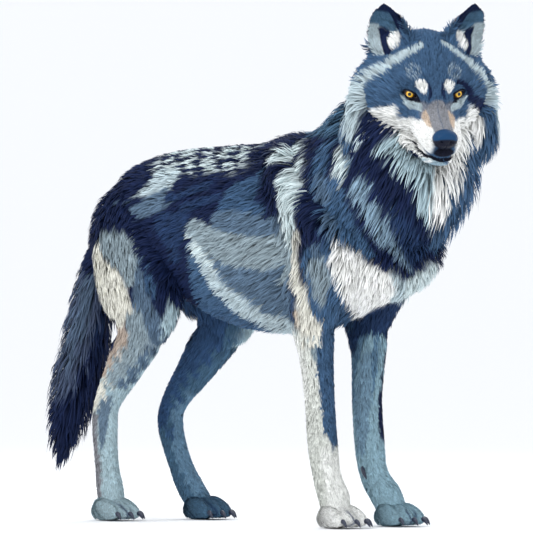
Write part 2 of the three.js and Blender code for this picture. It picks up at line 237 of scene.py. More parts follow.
@dataclass(frozen=True)
class Limb:
    """A closed form drawn out along a spine through its stations.

    The spine and the sizes are uniform Catmull-Rom curves through the stations. At share t of
    the way the section is two half ellipses, scaled by (1 - |2t - 1|^roundness)^(1/roundness),
    which closes both ends. side hints at the section's sideways direction, and droop turns the
    lie of the coat downwards.
    """

    name: str
    stations: tuple[Station, ...]
    roundness: float = 4.0
    flow: Flow = Flow.AHEAD
    side: tuple[float, float, float] = (1.0, 0.0, 0.0)
    in_head: bool = False
    droop: float = 0.0
    thinnest: float = 0.8

    def table(self) -> Array:
        """The stations as rows of x, y, z, wide, up, down, coat, hair."""
        rows = [(s.x, s.y, s.z, s.wide, s.up, s.down, s.coat, s.hair) for s in self.stations]
        return np.array(rows, float)

    def along(self, t: Array) -> Array:
        """The stations' values at shares t of the way, by uniform Catmull-Rom.

        Between two rows b and c with neighbours a and d, and u from 0 to 1, the value is the
        cubic through b and c whose slopes there are (c - a) / 2 and (d - b) / 2.
        """
        rows = self.table()
        first = 2 * rows[0] - rows[1]
        last = 2 * rows[-1] - rows[-2]
        rows = np.vstack([first, rows, last])
        place = np.clip(t, 0, 1) * (len(rows) - 3)
        i = np.minimum(place.astype(int), len(rows) - 4)
        u = (place - i)[:, None]
        a, b, c, d = rows[i], rows[i + 1], rows[i + 2], rows[i + 3]
        m, n = (c - a) / 2, (d - b) / 2
        return b + m * u + (3 * (c - b) - 2 * m - n) * u**2 + (m + n - 2 * (c - b)) * u**3

    def frame(self, t: Array) -> tuple[Array, Array, Array]:
        """The spine's unit directions forwards, sideways and upwards at shares t."""
        ahead = unit(self.along(t + 1e-3)[:, :3] - self.along(t - 1e-3)[:, :3])
        hint = np.array(self.side)
        sideways = unit(hint - ahead * (ahead @ hint)[:, None])
        return ahead, sideways, np.cross(ahead, sideways)

    def fill(self, t: Array) -> Array:
        """The section's scale at shares t, 0 at both ends."""
        inside = np.maximum(0.0, 1 - np.abs(2 * t - 1) ** self.roundness)
        return inside ** (1 / self.roundness)

    def grid(self, around: int, along: int) -> tuple[Array, Array]:
        """The shares of the way of the rings, closer at the ends, and the angles round each."""
        t = (1 - np.cos(np.linspace(0.02, math.pi - 0.02, along))) / 2
        return t, np.linspace(0, 2 * math.pi, around, endpoint=False)

    def surface(self, around: int, along: int) -> tuple[Array, Array, Array]:
        """The limb without its coat as a closed mesh, in metres.

        Args:
            around: points round each section.
            along: rings from end to end.

        Returns:
            Points, quads and the triangles of the end caps. Each ring is the spine's point plus
            sideways times wide times cos(angle) plus upwards times up or down times sin(angle).
        """
        t, angle = self.grid(around, along)
        values = self.along(t)
        _, sideways, upwards = self.frame(t)
        sizes = np.maximum(values[:, 3:6] - values[:, 6:7], self.thinnest)
        fill = self.fill(t)[:, None]
        across = (sizes[:, :1] * np.cos(angle) * fill)[..., None] * sideways[:, None]
        half = np.where(np.sin(angle) > 0, sizes[:, 1:2], sizes[:, 2:3])
        upright = (half * np.sin(angle) * fill)[..., None] * upwards[:, None]
        points = (values[:, None, :3] + across + upright).reshape(-1, 3)
        points = np.vstack([points, values[[0, -1], :3]])
        return to_row(points, HEAD if self.in_head else None), *lattice(along, around)

    def spine(self, count: int = 18) -> dict[str, Array]:
        """Samples of the spine for the fields of the coat, in metres."""
        t = np.linspace(0.02, 0.98, count)
        values = self.along(t)
        ahead, _, _ = self.frame(t)
        sizes = np.maximum(values[:, 3:6].mean(1) - values[:, 6], 3.0) * self.fill(t)
        matrix = HEAD if self.in_head else None
        if self.in_head:
            ahead = ahead @ (HEAD[:3, :3] / HEAD_SIZE).T
        scale = MM * (HEAD_SIZE if self.in_head else 1.0)
        return {
            "at": to_row(values[:, :3], matrix),
            "lie": ahead * self.flow.value + np.array([0, 0, -self.droop]),
            "radius": np.maximum(sizes * scale, 0.004),
            "coat": values[:, 6] * scale,
            "hair": values[:, 7] * scale,
        }


def stations(*rows: Sequence[float]) -> tuple[Station, ...]:
    """Stations from rows of x, y, z, wide, up, down, coat and hair."""
    return tuple(Station(*row) for row in rows)


# ---- the body's plan

WITHERS = 820.0
BACK_DIP = 32.0
CROUP_DROP = 156.0
BRISKET = 398.0
TUCK = 470.0
CHEST_FRONT = -530.0
BUTTOCK = 344.0
TRUNK_MIDDLE = 608.0


@dataclass(frozen=True)
class LegPlan:
    """Where one leg's joints lie along the body, in millimetres."""

    side: Side
    x: float
    high: float  # elbow, or hip
    middle: float  # elbow again, or knee
    low: float  # wrist, or hock
    paw: float
    scale: float


LEGS = {
    "fore_left": LegPlan(Side.LEFT, 80, -308, -308, -316, -396, 1.0),
    "fore_right": LegPlan(Side.RIGHT, 80, -318, -318, -332, -382, 1.0),
    "hind_left": LegPlan(Side.LEFT, 90, 210, 84, 258, 158, 0.92),
    "hind_right": LegPlan(Side.RIGHT, 92, 214, 122, 278, 250, 0.92),
}


@dataclass(frozen=True)
class Toe:
    """One toe: its place across the paw, its reach and its turn outwards."""

    name: str
    x: float
    reach: float
    turn: float


TOES = (
    Toe("outer", 31, 20, 0.16),
    Toe("middle_outer", 12, 36, 0.04),
    Toe("middle_inner", -12, 36, -0.04),
    Toe("inner", -31, 20, -0.16),
)


def toe_point(leg: LegPlan, toe: Toe, reach: float, z: float) -> tuple[float, float, float]:
    """A point along a toe, reach millimetres ahead of the paw's middle."""
    x = leg.side.value * (leg.x + leg.scale * (toe.x + math.sin(toe.turn) * reach))
    return x, leg.paw - reach * math.cos(toe.turn), z


def trunk_limb() -> Limb:
    """Chest, belly and rump in one."""
    middle = TRUNK_MIDDLE
    back = WITHERS - BACK_DIP - middle
    return Limb("trunk", stations(
        (0, BUTTOCK, 560, 62, 58, 70, 16, 44),
        (0, 306, 592, 98, WITHERS - CROUP_DROP - 592, 116, 17, 46),
        (0, 232, middle, 118, back - 38, 136, 18, 46),
        (0, 130, middle, 126, back - 10, middle - TUCK, 20, 48),
        (0, 10, middle, 136, back, middle - BRISKET - 24, 22, 52),
        (0, -110, middle, 146, back + 10, middle - BRISKET, 24, 58),
        (0, -225, middle, 147, WITHERS - middle, middle - BRISKET, 26, 64),
        (0, -330, middle, 138, WITHERS - middle - 22, middle - BRISKET - 20, 28, 68),
        (0, -425, 590, 126, 138, 158, 30, 68),
        (0, CHEST_FRONT, 558, 104, 96, 100, 30, 64),
    ), roundness=5, flow=Flow.BACK, droop=0.38)


def neck_limb() -> Limb:
    """From the withers and the front of the chest up into the head."""
    return Limb("neck", stations(
        (0, -150, 640, 90, 110, 110, 28, 64),
        (0, -265, 655, 126, 164, 190, 32, 72),
        (0, -375, 705, 142, 166, 200, 36, 78),
        (-2, -470, 792, 146, 150, 196, 38, 80),
        (-14, -545, 857, 130, 118, 162, 34, 68),
        (-34, -605, 885, 90, 84, 104, 26, 48),
    ), flow=Flow.BACK, droop=0.35)


def tail_limb() -> Limb:
    """The hanging tail."""
    return Limb("tail", stations(
        (0, 270, 660, 40, 38, 38, 14, 44),
        (0, 326, 622, 46, 42, 44, 20, 56),
        (0, 372, 540, 54, 46, 50, 28, 70),
        (0, 404, 430, 62, 56, 58, 36, 82),
        (0, 430, 325, 68, 62, 64, 40, 86),
        (0, 464, 224, 54, 48, 52, 32, 76),
        (0, 492, 138, 18, 16, 18, 12, 60),
    ), roundness=5)


def shoulder_limb(leg: LegPlan) -> Limb:
    """The muscle over the shoulder blade and upper arm."""
    s, elbow = leg.side.value, leg.high
    return Limb(f"shoulder_{leg.side.word}", stations(
        (s * 70, -190, 772, 34, 50, 50, 20, 60),
        (s * 88, -268, 680, 54, 84, 90, 20, 54),
        (s * 95, elbow - 42, 580, 56, 88, 96, 18, 46),
        (s * 93, elbow - 16, 490, 50, 70, 82, 15, 38),
        (s * 89, elbow - 2, 415, 38, 44, 56, 11, 28),
        (s * 86, elbow, 350, 28, 30, 38, 8, 20),
    ), droop=0.1)


def foreleg_limb(leg: LegPlan) -> Limb:
    """From the elbow down to the toes."""
    s, elbow, wrist = leg.side.value, leg.high, leg.low
    return Limb(f"foreleg_{leg.side.word}", stations(
        (s * 92, elbow - 6, 520, 44, 52, 62, 12, 34),
        (s * 89, elbow, 440, 41, 46, 58, 11, 28),
        (s * 85, elbow - 4, 355, 34, 36, 44, 8, 20),
        (s * 81, wrist + 6, 265, 32, 31, 36, 6, 15),
        (s * leg.x, wrist, 175, 33, 32, 33, 5, 13),
        (s * leg.x, wrist - 12, 110, 32, 30, 31, 5, 12),
        (s * leg.x, (wrist + leg.paw) / 2 - 6, 62, 34, 34, 32, 4.5, 11),
        (s * leg.x, leg.paw + 8, 27, 32, 30, 34, 4, 9),
    ), roundness=7)


def thigh_limb(leg: LegPlan) -> Limb:
    """The muscle from the hip to the knee."""
    s, hip, knee = leg.side.value, leg.high, leg.middle
    return Limb(f"thigh_{leg.side.word}", stations(
        (s * 52, hip + 12, 700, 44, 46, 50, 18, 46),
        (s * 78, hip + 12, 626, 60, 84, 94, 18, 46),
        (s * 94, (hip + knee) / 2 + 20, 540, 60, 112, 110, 16, 42),
        (s * 104, knee + 38, 450, 49, 102, 98, 12, 34),
        (s * 100, knee + 60, 380, 36, 62, 62, 10, 26),
    ), droop=0.1)


def hind_limb(leg: LegPlan) -> Limb:
    """From the knee down to the toes."""
    s, knee, hock, paw = leg.side.value, leg.middle, leg.low, leg.paw
    shank = lambda t: knee + (hock - knee) * t
    instep = lambda t: hock + (paw - hock) * t
    return Limb(f"hind_{leg.side.word}", stations(
        (s * 104, knee, 470, 46, 50, 70, 12, 34),
        (s * 102, shank(0.2), 400, 42, 50, 68, 11, 32),
        (s * 97, shank(0.58), 320, 33, 40, 50, 8, 22),
        (s * 92, shank(0.93), 250, 25, 31, 34, 6, 15),
        (s * 89, hock, 200, 25, 29, 34, 5, 13),
        (s * leg.x, instep(0.22), 125, 26, 26, 28, 5, 12),
        (s * leg.x, instep(0.58), 62, 29, 29, 29, 4.5, 11),
        (s * leg.x, paw + 7, 27, 29, 28, 32, 4, 9),
    ), roundness=7)


def paw_limbs(name: str, leg: LegPlan) -> list[Limb]:
    """The heel and four toes of one paw."""
    x, y, k = leg.side.value * leg.x, leg.paw, leg.scale
    heel = Limb(f"paw_{name}", stations(
        (x, y + 54, 20, 34 * k, 28, 28, 4, 8),
        (x, y + 18, 20, 34 * k, 28, 28, 4, 8),
        (x, y - 18, 20, 34 * k, 28, 28, 4, 8),
    ), roundness=2)
    toes = [Limb(f"toe_{name}_{toe.name}", stations(
        (*toe_point(leg, toe, -30, 34), 12, 14, 20, 3, 7),
        (*toe_point(leg, toe, toe.reach - 24, 32), 15 * k, 17, 28, 3, 7),
        (*toe_point(leg, toe, toe.reach, 22), 13.5 * k, 15, 24, 2.5, 6),
        (*toe_point(leg, toe, toe.reach + 17, 12), 9, 9, 12, 2, 5),
    )) for toe in TOES]
    return [heel, *toes]


def skull_limb() -> Limb:
    """From the nape to between the eyes."""
    return Limb("skull", stations(
        (0, 178, -26, 60, 60, 70, 22, 44),
        (0, 122, -8, 86, 94, 100, 16, 34),
        (0, 70, 2, 92, 89, 96, 10, 20),
        (0, 28, 2, 80, 64, 76, 7, 13),
        (0, -10, -10, 60, 35, 56, 5, 9),
        (0, -48, -28, 44, 23, 40, 4, 8),
    ), flow=Flow.BACK, in_head=True)


def muzzle_limb() -> Limb:
    """The upper half of the muzzle."""
    return Limb("muzzle", stations(
        (0, 20, -34, 52, 31, 44, 4, 9),
        (0, -30, -38, 48, 29, 47, 3.5, 8),
        (0, -80, -48, 43, 26, 45, 3, 6.5),
        (0, -120, -54, 37, 23, 35, 2.5, 5),
        (0, -143, -58, 27, 18, 24, 2, 4),
    ), roundness=5, flow=Flow.BACK, in_head=True)


def jaw_limb() -> Limb:
    """The lower jaw and chin."""
    return Limb("jaw", stations(
        (0, 40, -104, 44, 26, 30, 7, 18),
        (0, -14, -102, 38, 18, 25, 5, 14),
        (0, -70, -100, 31, 13, 19, 3.5, 9),
        (0, -108, -94, 25, 11, 15, 2.5, 6),
        (0, -127, -91, 16, 6, 9, 2, 5),
    ), roundness=5, flow=Flow.BACK, in_head=True)


def cheek_limb(side: Side) -> Limb:
    """From the corner of the mouth out to the ruff."""
    s = side.value
    return Limb(f"cheek_{side.word}", stations(
        (s * 18, -46, -50, 20, 22, 24, 4, 9),
        (s * 36, -4, -42, 32, 40, 42, 8, 18),
        (s * 56, 36, -28, 44, 62, 62, 11, 28),
        (s * 76, 84, -20, 50, 80, 78, 15, 40),
        (s * 84, 136, -26, 40, 64, 64, 17, 44),
    ), in_head=True)


def ruff_limb(side: Side) -> Limb:
    """The thick fur from below the ear to the throat."""
    s = side.value
    return Limb(f"ruff_{side.word}", stations(
        (s * 70, 106, 56, 20, 26, 32, 9, 28),
        (s * 98, 100, 2, 32, 42, 50, 14, 46),
        (s * 112, 90, -58, 38, 46, 54, 17, 60),
        (s * 104, 78, -124, 48, 50, 54, 20, 60),
        (s * 40, 60, -154, 36, 36, 40, 18, 52),
    ), in_head=True)


def all_limbs() -> list[Limb]:
    """Every limb whose union is the skin."""
    limbs = [trunk_limb(), neck_limb(), tail_limb(), skull_limb(), muzzle_limb(), jaw_limb()]
    for side in Side:
        limbs += [cheek_limb(side), ruff_limb(side)]
    for name, leg in LEGS.items():
        if name.startswith("fore"):
            limbs += [shoulder_limb(leg), foreleg_limb(leg)]
        else:
            limbs += [thigh_limb(leg), hind_limb(leg)]
        limbs += paw_limbs(name, leg)
    return limbs


# ---- meshes


def new_piece(name: str, points: Array, *faces: Array) -> Piece:
    """A smooth-shaded mesh object from points and arrays of triangles or quads.

    Args:
        name: the object's name.
        points: N by 3 points in metres.
        faces: arrays of corner numbers, three or four to a row.

    Returns:
        The object, linked to the scene, with its place in its mesh.
    """
    faces = [f for f in faces if len(f)]
    mesh = bpy.data.meshes.new(name)
    corners = np.concatenate([f.ravel() for f in faces]).astype(np.int32)
    counts = np.concatenate([np.full(len(f), f.shape[1]) for f in faces])
    starts = np.concatenate([[0], np.cumsum(counts)[:-1]]).astype(np.int32)
    mesh.vertices.add(len(points))
    mesh.vertices.foreach_set("co", np.ascontiguousarray(points, np.float32).ravel())
    mesh.loops.add(len(corners))
    mesh.loops.foreach_set("vertex_index", corners)
    mesh.polygons.add(len(starts))
    mesh.polygons.foreach_set("loop_start", starts)
    mesh.polygons.foreach_set("use_smooth", np.ones(len(starts), bool))
    mesh.update(calc_edges=True)
    piece = bpy.data.objects.new(name, mesh)
    bpy.context.scene.collection.objects.link(piece)
    return piece


def read_mesh(mesh: bpy.types.Mesh) -> tuple[Array, Array]:
    """A mesh's points and its triangles' corner numbers."""
    points = np.empty(len(mesh.vertices) * 3, np.float32)
    mesh.vertices.foreach_get("co", points)
    mesh.calc_loop_triangles()
    triangles = np.empty(len(mesh.loop_triangles) * 3, np.int32)
    mesh.loop_triangles.foreach_get("vertices", triangles)
    return points.reshape(-1, 3).astype(float), triangles.reshape(-1, 3)


def discard(piece: Piece) -> None:
    """Takes an object and its mesh away."""
    mesh = piece.data
    bpy.data.objects.remove(piece)
    bpy.data.meshes.remove(mesh)


def through(name: str, points: Array, faces: Sequence[Array], groups: dict[str, Array],
            *modifiers: tuple[str, dict[str, object]]) -> tuple[Array, Array]:
    """The points and triangles that come out of a chain of modifiers.

    Args:
        name: a name for the passing object.
        points: the mesh's points.
        faces: its arrays of faces.
        groups: vertex groups by name, one weight of 0 or 1 for each point.
        modifiers: pairs of a modifier's type and its settings.

    Returns:
        The new points, and the triangles' corner numbers.
    """
    piece = new_piece(name, points, *faces)
    for group, weights in groups.items():
        members = np.flatnonzero(weights > 0.5).tolist()
        piece.vertex_groups.new(name=group).add(members, 1.0, "REPLACE")
    for kind, settings in modifiers:
        modifier = piece.modifiers.new(kind.lower(), kind)
        for key, value in settings.items():
            setattr(modifier, key, value)
    done = piece.evaluated_get(bpy.context.evaluated_depsgraph_get())
    result = read_mesh(done.to_mesh())
    done.to_mesh_clear()
    discard(piece)
    return result


def normals_of(points: Array, triangles: Array) -> Array:
    """Unit normals at the points: the sum of the crossed edges of the triangles that meet there."""
    a, b, c = (points[triangles[:, k]] for k in range(3))
    across = np.cross(b - a, c - a)
    total = np.stack([
        sum(np.bincount(triangles[:, k], across[:, axis], len(points)) for k in range(3))
        for axis in range(3)
    ], 1)
    return unit(total)


def relax(points: Array, triangles: Array, weight: Array, rounds: int) -> Array:
    """Moves each point towards the mean of its neighbours.

    Args:
        points: N by K values.
        triangles: the corner numbers.
        weight: each point's share of the way in one round.
        rounds: how many times over.

    Returns:
        The moved points.
    """
    edges = np.vstack([triangles[:, [0, 1]], triangles[:, [1, 2]], triangles[:, [2, 0]]])
    count = np.maximum(np.bincount(edges[:, 0], minlength=len(points)), 1)[:, None]
    for _ in range(rounds):
        mean = np.stack([
            np.bincount(edges[:, 0], points[edges[:, 1], axis], len(points))
            for axis in range(points.shape[1])
        ], 1) / count
        points = points + (mean - points) * weight[:, None]
    return points


NOISE_TABLE = 8192  # random numbers in a noise, a power of two
NOISE_PRIMES = (73856093, 19349663, 83492791)  # which scatter the cells over the table


def noise(points: Array, size: float, seed: int) -> Array:
    """Smooth noise from -1 to 1.

    Random numbers stand on a cubic lattice, and a point gets the blend of the eight round it, by
    the smooth cubic step of its share of the way between them.

    Args:
        points: N by 3 points.
        size: the lattice's step.
        seed: the seed of the random numbers.

    Returns:
        N values.
    """
    table = np.random.default_rng(seed).uniform(-1, 1, NOISE_TABLE)
    place = points / size
    cell = np.floor(place).astype(np.int64)
    share = place - cell
    share = share * share * (3 - 2 * share)
    total = np.zeros(len(points))
    for corner in np.ndindex(2, 2, 2):
        key = np.bitwise_xor.reduce((cell + corner) * NOISE_PRIMES, axis=1) % NOISE_TABLE
        total += np.where(corner, share, 1 - share).prod(1) * table[key]
    return total


def loop_tube(path: Array, radii: Array, around: int = 10) -> tuple[Array, Array]:
    """A round tube along a closed path.

    At each path point a circle of its radius stands across the path's direction, in the plane of
    the unit vector outwards from the path's middle and the one square to it and the direction.

    Args:
        path: N by 3 points, the last of which joins the first.
        radii: N radii.
        around: points round each circle.

    Returns:
        Points and quads.
    """
    ahead = unit(np.roll(path, -1, 0) - np.roll(path, 1, 0))
    outward = path - path.mean(0)
    outward = unit(outward - ahead * (outward * ahead).sum(1, keepdims=True))
    third = np.cross(ahead, outward)
    angle = np.linspace(0, 2 * math.pi, around, endpoint=False)
    ring = np.cos(angle)[:, None, None] * outward + np.sin(angle)[:, None, None] * third
    points = (path + ring * radii[:, None]).transpose(1, 0, 2).reshape(-1, 3)
    rows = np.arange(len(path))[:, None] * around
    turn = np.arange(around)
    after = np.roll(turn, -1)
    further = (rows + around) % len(points)
    quads = np.stack([rows + turn, rows + after, further + after, further + turn], -1)
    return points, quads.reshape(-1, 4)


# ---- eyes' own axes


@dataclass(frozen=True)
class EyeFrame:
    """One eye's place and axes, and the opening of its lids, in the head's millimetres.

    u runs from the middle towards the outer corner, v upwards and w out along the gaze. The
    opening is a lens: |v| < height * (1 - (u / length)^2), with its own height above and below
    and its own length inwards and outwards.
    """

    side: Side
    outer: float = 14.0
    inner: float = 16.5
    above: float = 5.6
    below: float = 6.6
    slant: float = 21.0

    @property
    def centre(self) -> Array:
        """The eyeball's centre."""
        return np.array([self.side.value * EYE_SPREAD, EYE_DEPTH, 0.0])

    def axes(self) -> Array:
        """Rows u, v and w, each a unit vector."""
        s = self.side.value
        w = unit(np.array([s * 0.30, -0.93, 0.20]))
        across = unit(np.cross(w, [0, 0, 1]) * -s)
        up = np.cross(w, across) * s
        up = up if up[2] > 0 else -up
        lean = math.radians(self.slant)
        u = across * math.cos(lean) + up * math.sin(lean)
        v = up * math.cos(lean) - across * math.sin(lean)
        return np.stack([u, v, w])

    def local(self, points: Array) -> Array:
        """Head points as u, v and w."""
        return (points - self.centre) @ self.axes().T

    def out(self, local: Array) -> Array:
        """Points u, v and w in the head."""
        return local @ self.axes() + self.centre

    def reach(self, local: Array) -> Array:
        """0 in the middle of the opening, 1 on the lids' edge and more outside."""
        u, v, _ = local.T
        length = np.where(u > 0, self.outer, self.inner)
        return np.abs(v) / np.where(v > 0, self.above, self.below) + (u / length) ** 2

    def near(self, local: Array) -> Array:
        """True on the skin in front of the eye and round it."""
        u, v, w = local.T
        return (w > EYE_BACK) & (np.hypot(u, v) < EYE_REACH)

    def lid_height(self, local: Array, over: float) -> Array:
        """w on a ball wider than the eye by the given amount, flattened beyond its rim."""
        ball = EYE_RADIUS + over
        inside = ball**2 - local[:, 0] ** 2 - local[:, 1] ** 2
        return np.sqrt(np.maximum(inside, (ball * 0.42) ** 2))

    def edge(self, count: int, over: float) -> Array:
        """Points round the lids' edge on that ball, in the head."""
        angle = np.linspace(0, 2 * math.pi, count, endpoint=False)
        u = np.cos(angle)
        length = np.where(u > 0, self.outer, self.inner)
        height = np.where(np.sin(angle) > 0, self.above, self.below)
        v = np.sign(np.sin(angle)) * height * np.sin(angle) ** 2
        local = np.stack([u * length, v, np.zeros(count)], 1)
        local[:, 2] = self.lid_height(local, over)
        return self.out(local)


EYES = tuple(EyeFrame(side) for side in Side)


# ---- the head's fine form


@dataclass(frozen=True)
class Mouth:
    """The line between the lips, seen from the front: across and up from the corner to the
    middle, in the head's millimetres, the same on both sides."""

    path: tuple[tuple[float, float], ...] = (
        (44, -92), (41, -100), (34, -111), (25, -121), (13, -127), (0, -129))
    width: float = 2.7
    depth: float = 3.8
    back: float = 36.0

    def gap(self, head: Array) -> Array:
        """The distance from the line, in the front view."""
        flat = front_view(head)
        flat[:, 0] = np.abs(flat[:, 0])
        path = np.array(self.path, float)
        return np.min([to_line(flat, *ends)[1] for ends in zip(path[:-1], path[1:])], axis=0)

    def near(self, head: Array, width: float | None = None) -> Array:
        """1 on the line and 0 away from it."""
        shown = fade(head[:, 1] + 50 * (head[:, 0] > 0), self.back - 14, self.back)
        return bell(self.gap(head) / (width or self.width)) * shown


MOUTH = Mouth()


@dataclass(frozen=True)
class HeadForm:
    """The lids, sockets, lips and brow that the skin gets once the limbs are one surface."""

    lid: float = 1.5
    socket: float = 5.0

    def eyes(self, head: Array, eye: EyeFrame) -> Array:
        """Head points with one eye's lids and socket formed.

        Outside the opening the skin's w becomes the lid ball's, and blends back to its own with
        the distance. Inside the opening it sinks behind the eyeball's face.
        """
        local = eye.local(head)
        u, v, w = local.T
        away = np.hypot(u, v)
        front = (away < 30) & (w > EYE_BACK)
        height = w + (eye.lid_height(local, self.lid) - w) * fade(away, 13.5, 25) * front
        deep = fade(eye.reach(local), 0.80, 1.0) * front * (away < 17)
        return eye.out(np.stack([u, v, height - deep * self.socket], 1))

    def folds(self, head: Array, eye: EyeFrame) -> Array:
        """How far the skin stands out round one eye: a lid crease inside a soft brow ridge."""
        local = eye.local(head)
        reach = eye.reach(local)
        u, v, _ = local.T
        edge = 0.9 * bell((reach - 1.12) / 0.12)
        crease = -0.9 * bell((reach - 1.55) / 0.16)
        brow = 3.0 * bell((v - 15) / 6.5, (u + 1) / 13)
        return (edge + crease + brow) * eye.near(local)

    def shape(self, points: Array, triangles: Array) -> Array:
        """Forms the head's details.

        Args:
            points: the skin's points in metres.
            triangles: its corner numbers.

        Returns:
            The points, moved on the head.
        """
        head = to_head(points)
        near = (np.abs(head) < [140, 190, 190]).all(1) & (head[:, 1] < 60)
        for eye in EYES:
            head[near] = self.eyes(head[near], eye)
        outward = normals_of(head, triangles)
        x, y, z = head.T
        rise = sum(self.folds(head, eye) for eye in EYES) - MOUTH.depth * MOUTH.near(head)
        bridge = bell(x / 7) * smooth(-y, 20, 40) * (z > -45)
        furrow = -2.4 * bell(x / 6) * bell((y - 8) / 34) * (z > 0)
        head += outward * ((rise + 0.8 * bridge + furrow) * near)[:, None]
        return to_row(head, HEAD)


# ---- the skin


@dataclass(frozen=True)
class Ear:
    """One ear: a cupped leaf from its root on the skull to its rounded tip.

    The back is half an ellipse across the spine. The front follows it inside by the wall, so
    the leaf is hollow, and closes to a solid root below. lean turns the cup outwards.
    """

    side: Side
    wall: float = 4.6
    lean: float = 0.42

    def limb(self) -> Limb:
        """The ear's spine and sizes."""
        s = self.side.value
        return Limb(f"ear_{self.side.word}", stations(
            (s * 58, 92, 44, 46, 24, 26, 3, 10),
            (s * 68, 92, 72, 49, 19, 24, 2, 9),
            (s * 78, 92, 100, 42, 14, 18, 2, 8),
            (s * 85, 91, 124, 31, 9, 11, 2, 8),
            (s * 88, 90, 140, 16, 5, 6, 1.5, 7),
            (s * 90, 90, 149, 6, 4, 4, 1.5, 6),
        ), roundness=6, side=(1.0, s * self.lean, 0.0), in_head=True)

    def local(self, head: Array, normals: Array) -> tuple[Array, Array]:
        """Where head points lie across the ear, -1 at its inner rim and 1 at its outer, and how
        much they face out of the cup."""
        s = self.side.value
        table = self.limb().table()
        x, y, z = head.T
        middle_x, middle_y, wide = (np.interp(z, table[:, 2], table[:, k]) for k in (0, 1, 3))
        along = unit(np.array([s, self.lean]))
        across = ((x - middle_x) * along[0] + (y - middle_y) * along[1]) / wide
        forward = unit(np.array([s * self.lean, -1.0, 0.0]))
        facing = (normals @ HEAD[:3, :3] / HEAD_SIZE) @ forward
        return across, smooth(facing, -0.15, 0.25)

    def surface(self, around: int, along: int) -> tuple[Array, Array, Array]:
        """The cupped leaf as points, quads and cap triangles.

        With a the place across from -1 to 1, the back stands up * sqrt(1 - a^2) behind the
        spine. The front stands wall inside that, less towards the rims, and down * sqrt(1 - a^2)
        before the spine where the root is solid.
        """
        limb = self.limb()
        t, angle = limb.grid(around, along)
        values = limb.along(t)
        _, sideways, upwards = limb.frame(t)
        fill = limb.fill(t)[:, None]
        wide = (values[:, 3:4] - values[:, 6:7]) * fill
        back = values[:, 4:5] * fill * 1.25
        arch = np.abs(np.sin(angle)) ** 0.9
        hollow = smooth(t, 0.10, 0.30)[:, None]
        inner = back * arch - self.wall * np.minimum(1, fill) * (0.35 + 0.65 * arch)
        solid = -values[:, 5:6] * fill * arch
        front = inner * hollow + solid * (1 - hollow)
        rise = np.where(np.sin(angle) >= 0, back * arch, front) - back * 0.45 * hollow
        points = values[:, None, :3] + (wide * np.cos(angle))[..., None] * sideways[:, None]
        points = (points + rise[..., None] * upwards[:, None]).reshape(-1, 3)
        ends = np.stack([points[:around].mean(0), points[-around:].mean(0)])
        return to_row(np.vstack([points, ends]), HEAD), *lattice(along, around)


EARS = tuple(Ear(side) for side in Side)


@dataclass
class Skin:
    """The one skin over the whole wolf."""

    voxel: float = 0.003
    share: float = 0.34
    fine_rounds: int = 2
    coarse_rounds: int = 26
    points: Array = field(default=None, repr=False)
    triangles: Array = field(default=None, repr=False)

    def union(self) -> tuple[Array, Array]:
        """All limbs as one closed surface."""
        forms = [limb.surface(48, 40) for limb in all_limbs()]
        points, *faces = joined(forms + [ear.surface(56, 48) for ear in EARS])
        return through("limbs", points, faces, {}, (
            "REMESH", {"mode": "VOXEL", "voxel_size": self.voxel}))

    def careful(self, points: Array) -> Array:
        """1 on the face, ears and paws, which keep their fine form, and 0 elsewhere."""
        x, y, z = to_head(points).T
        face = (np.abs(x) < 100) & (y > -190) & (y < 60) & (z > -130)
        ears = (y > -60) & (y < 150) & (z > 62)
        return face | ears | (points[:, 2] < 0.09)

    def refine(self, points: Array, triangles: Array) -> tuple[Array, Array]:
        """Cuts the triangles round the eyes and along the lips into finer ones.

        Args:
            points: the skin's points.
            triangles: its corner numbers.

        Returns:
            The finer points and triangles.
        """
        piece = new_piece("refining", points, triangles)
        fine = bmesh.new()
        fine.from_mesh(piece.data)
        for level in range(2):
            at = np.array([v.co for v in fine.verts])
            head = to_head(at)
            wanted = np.zeros(len(at), bool)
            for eye in EYES:
                local = eye.local(head)
                wanted |= (eye.reach(local) < (3.2, 1.9)[level]) & (local[:, 2] > -4)
            if level == 0:
                wanted |= MOUTH.near(head) > 0.05
            fine.verts.ensure_lookup_table()
            edges = [e for e in fine.edges if wanted[e.verts[0].index] or wanted[e.verts[1].index]]
            bmesh.ops.subdivide_edges(fine, edges=edges, cuts=1, use_grid_fill=True)
            bmesh.ops.triangulate(fine, faces=fine.faces)
            fine.verts.index_update()
        fine.to_mesh(piece.data)
        fine.free()
        result = read_mesh(piece.data)
        discard(piece)
        return result

    def build(self) -> None:
        """Works out the skin's points and triangles."""
        points, triangles = self.union()
        careful = self.careful(points)
        weight = np.where(careful, 0.0, 0.5)
        weight = relax(weight[:, None], triangles, np.full(len(points), 0.6), 12)[:, 0]
        points = relax(points, triangles, weight, self.coarse_rounds)
        points = relax(points, triangles, np.full(len(points), 0.5), self.fine_rounds)
        coarse = (~self.careful(points)).astype(float)
        points, triangles = through("skin_fine", points, [triangles], {"coarse": coarse}, (
            "DECIMATE", {"ratio": self.share, "vertex_group": "coarse"}))
        points, triangles = self.refine(points, triangles)
        points = HeadForm().shape(points, triangles)
        points[:, 2] = np.maximum(points[:, 2], SKIN_FLOOR)
        self.points, self.triangles = points, triangles


# ---- the lie, depth and length


class Part(Enum):
    """The regions of the skin, each with its own unwrap and coat piece."""

    FACE = 0
    CHEEKS = 1
    NECK_LEFT = 2
    NECK_RIGHT = 3
    TRUNK_LEFT = 4
    TRUNK_RIGHT = 5
    RUMP = 6
    FORE_LEFT = 7
    FORE_RIGHT = 8
    HIND_LEFT = 9
    HIND_RIGHT = 10
    TAIL = 11
    EARS = 12

    @property
    def word(self) -> str:
        """The part's name in lower case."""
        return self.name.lower()


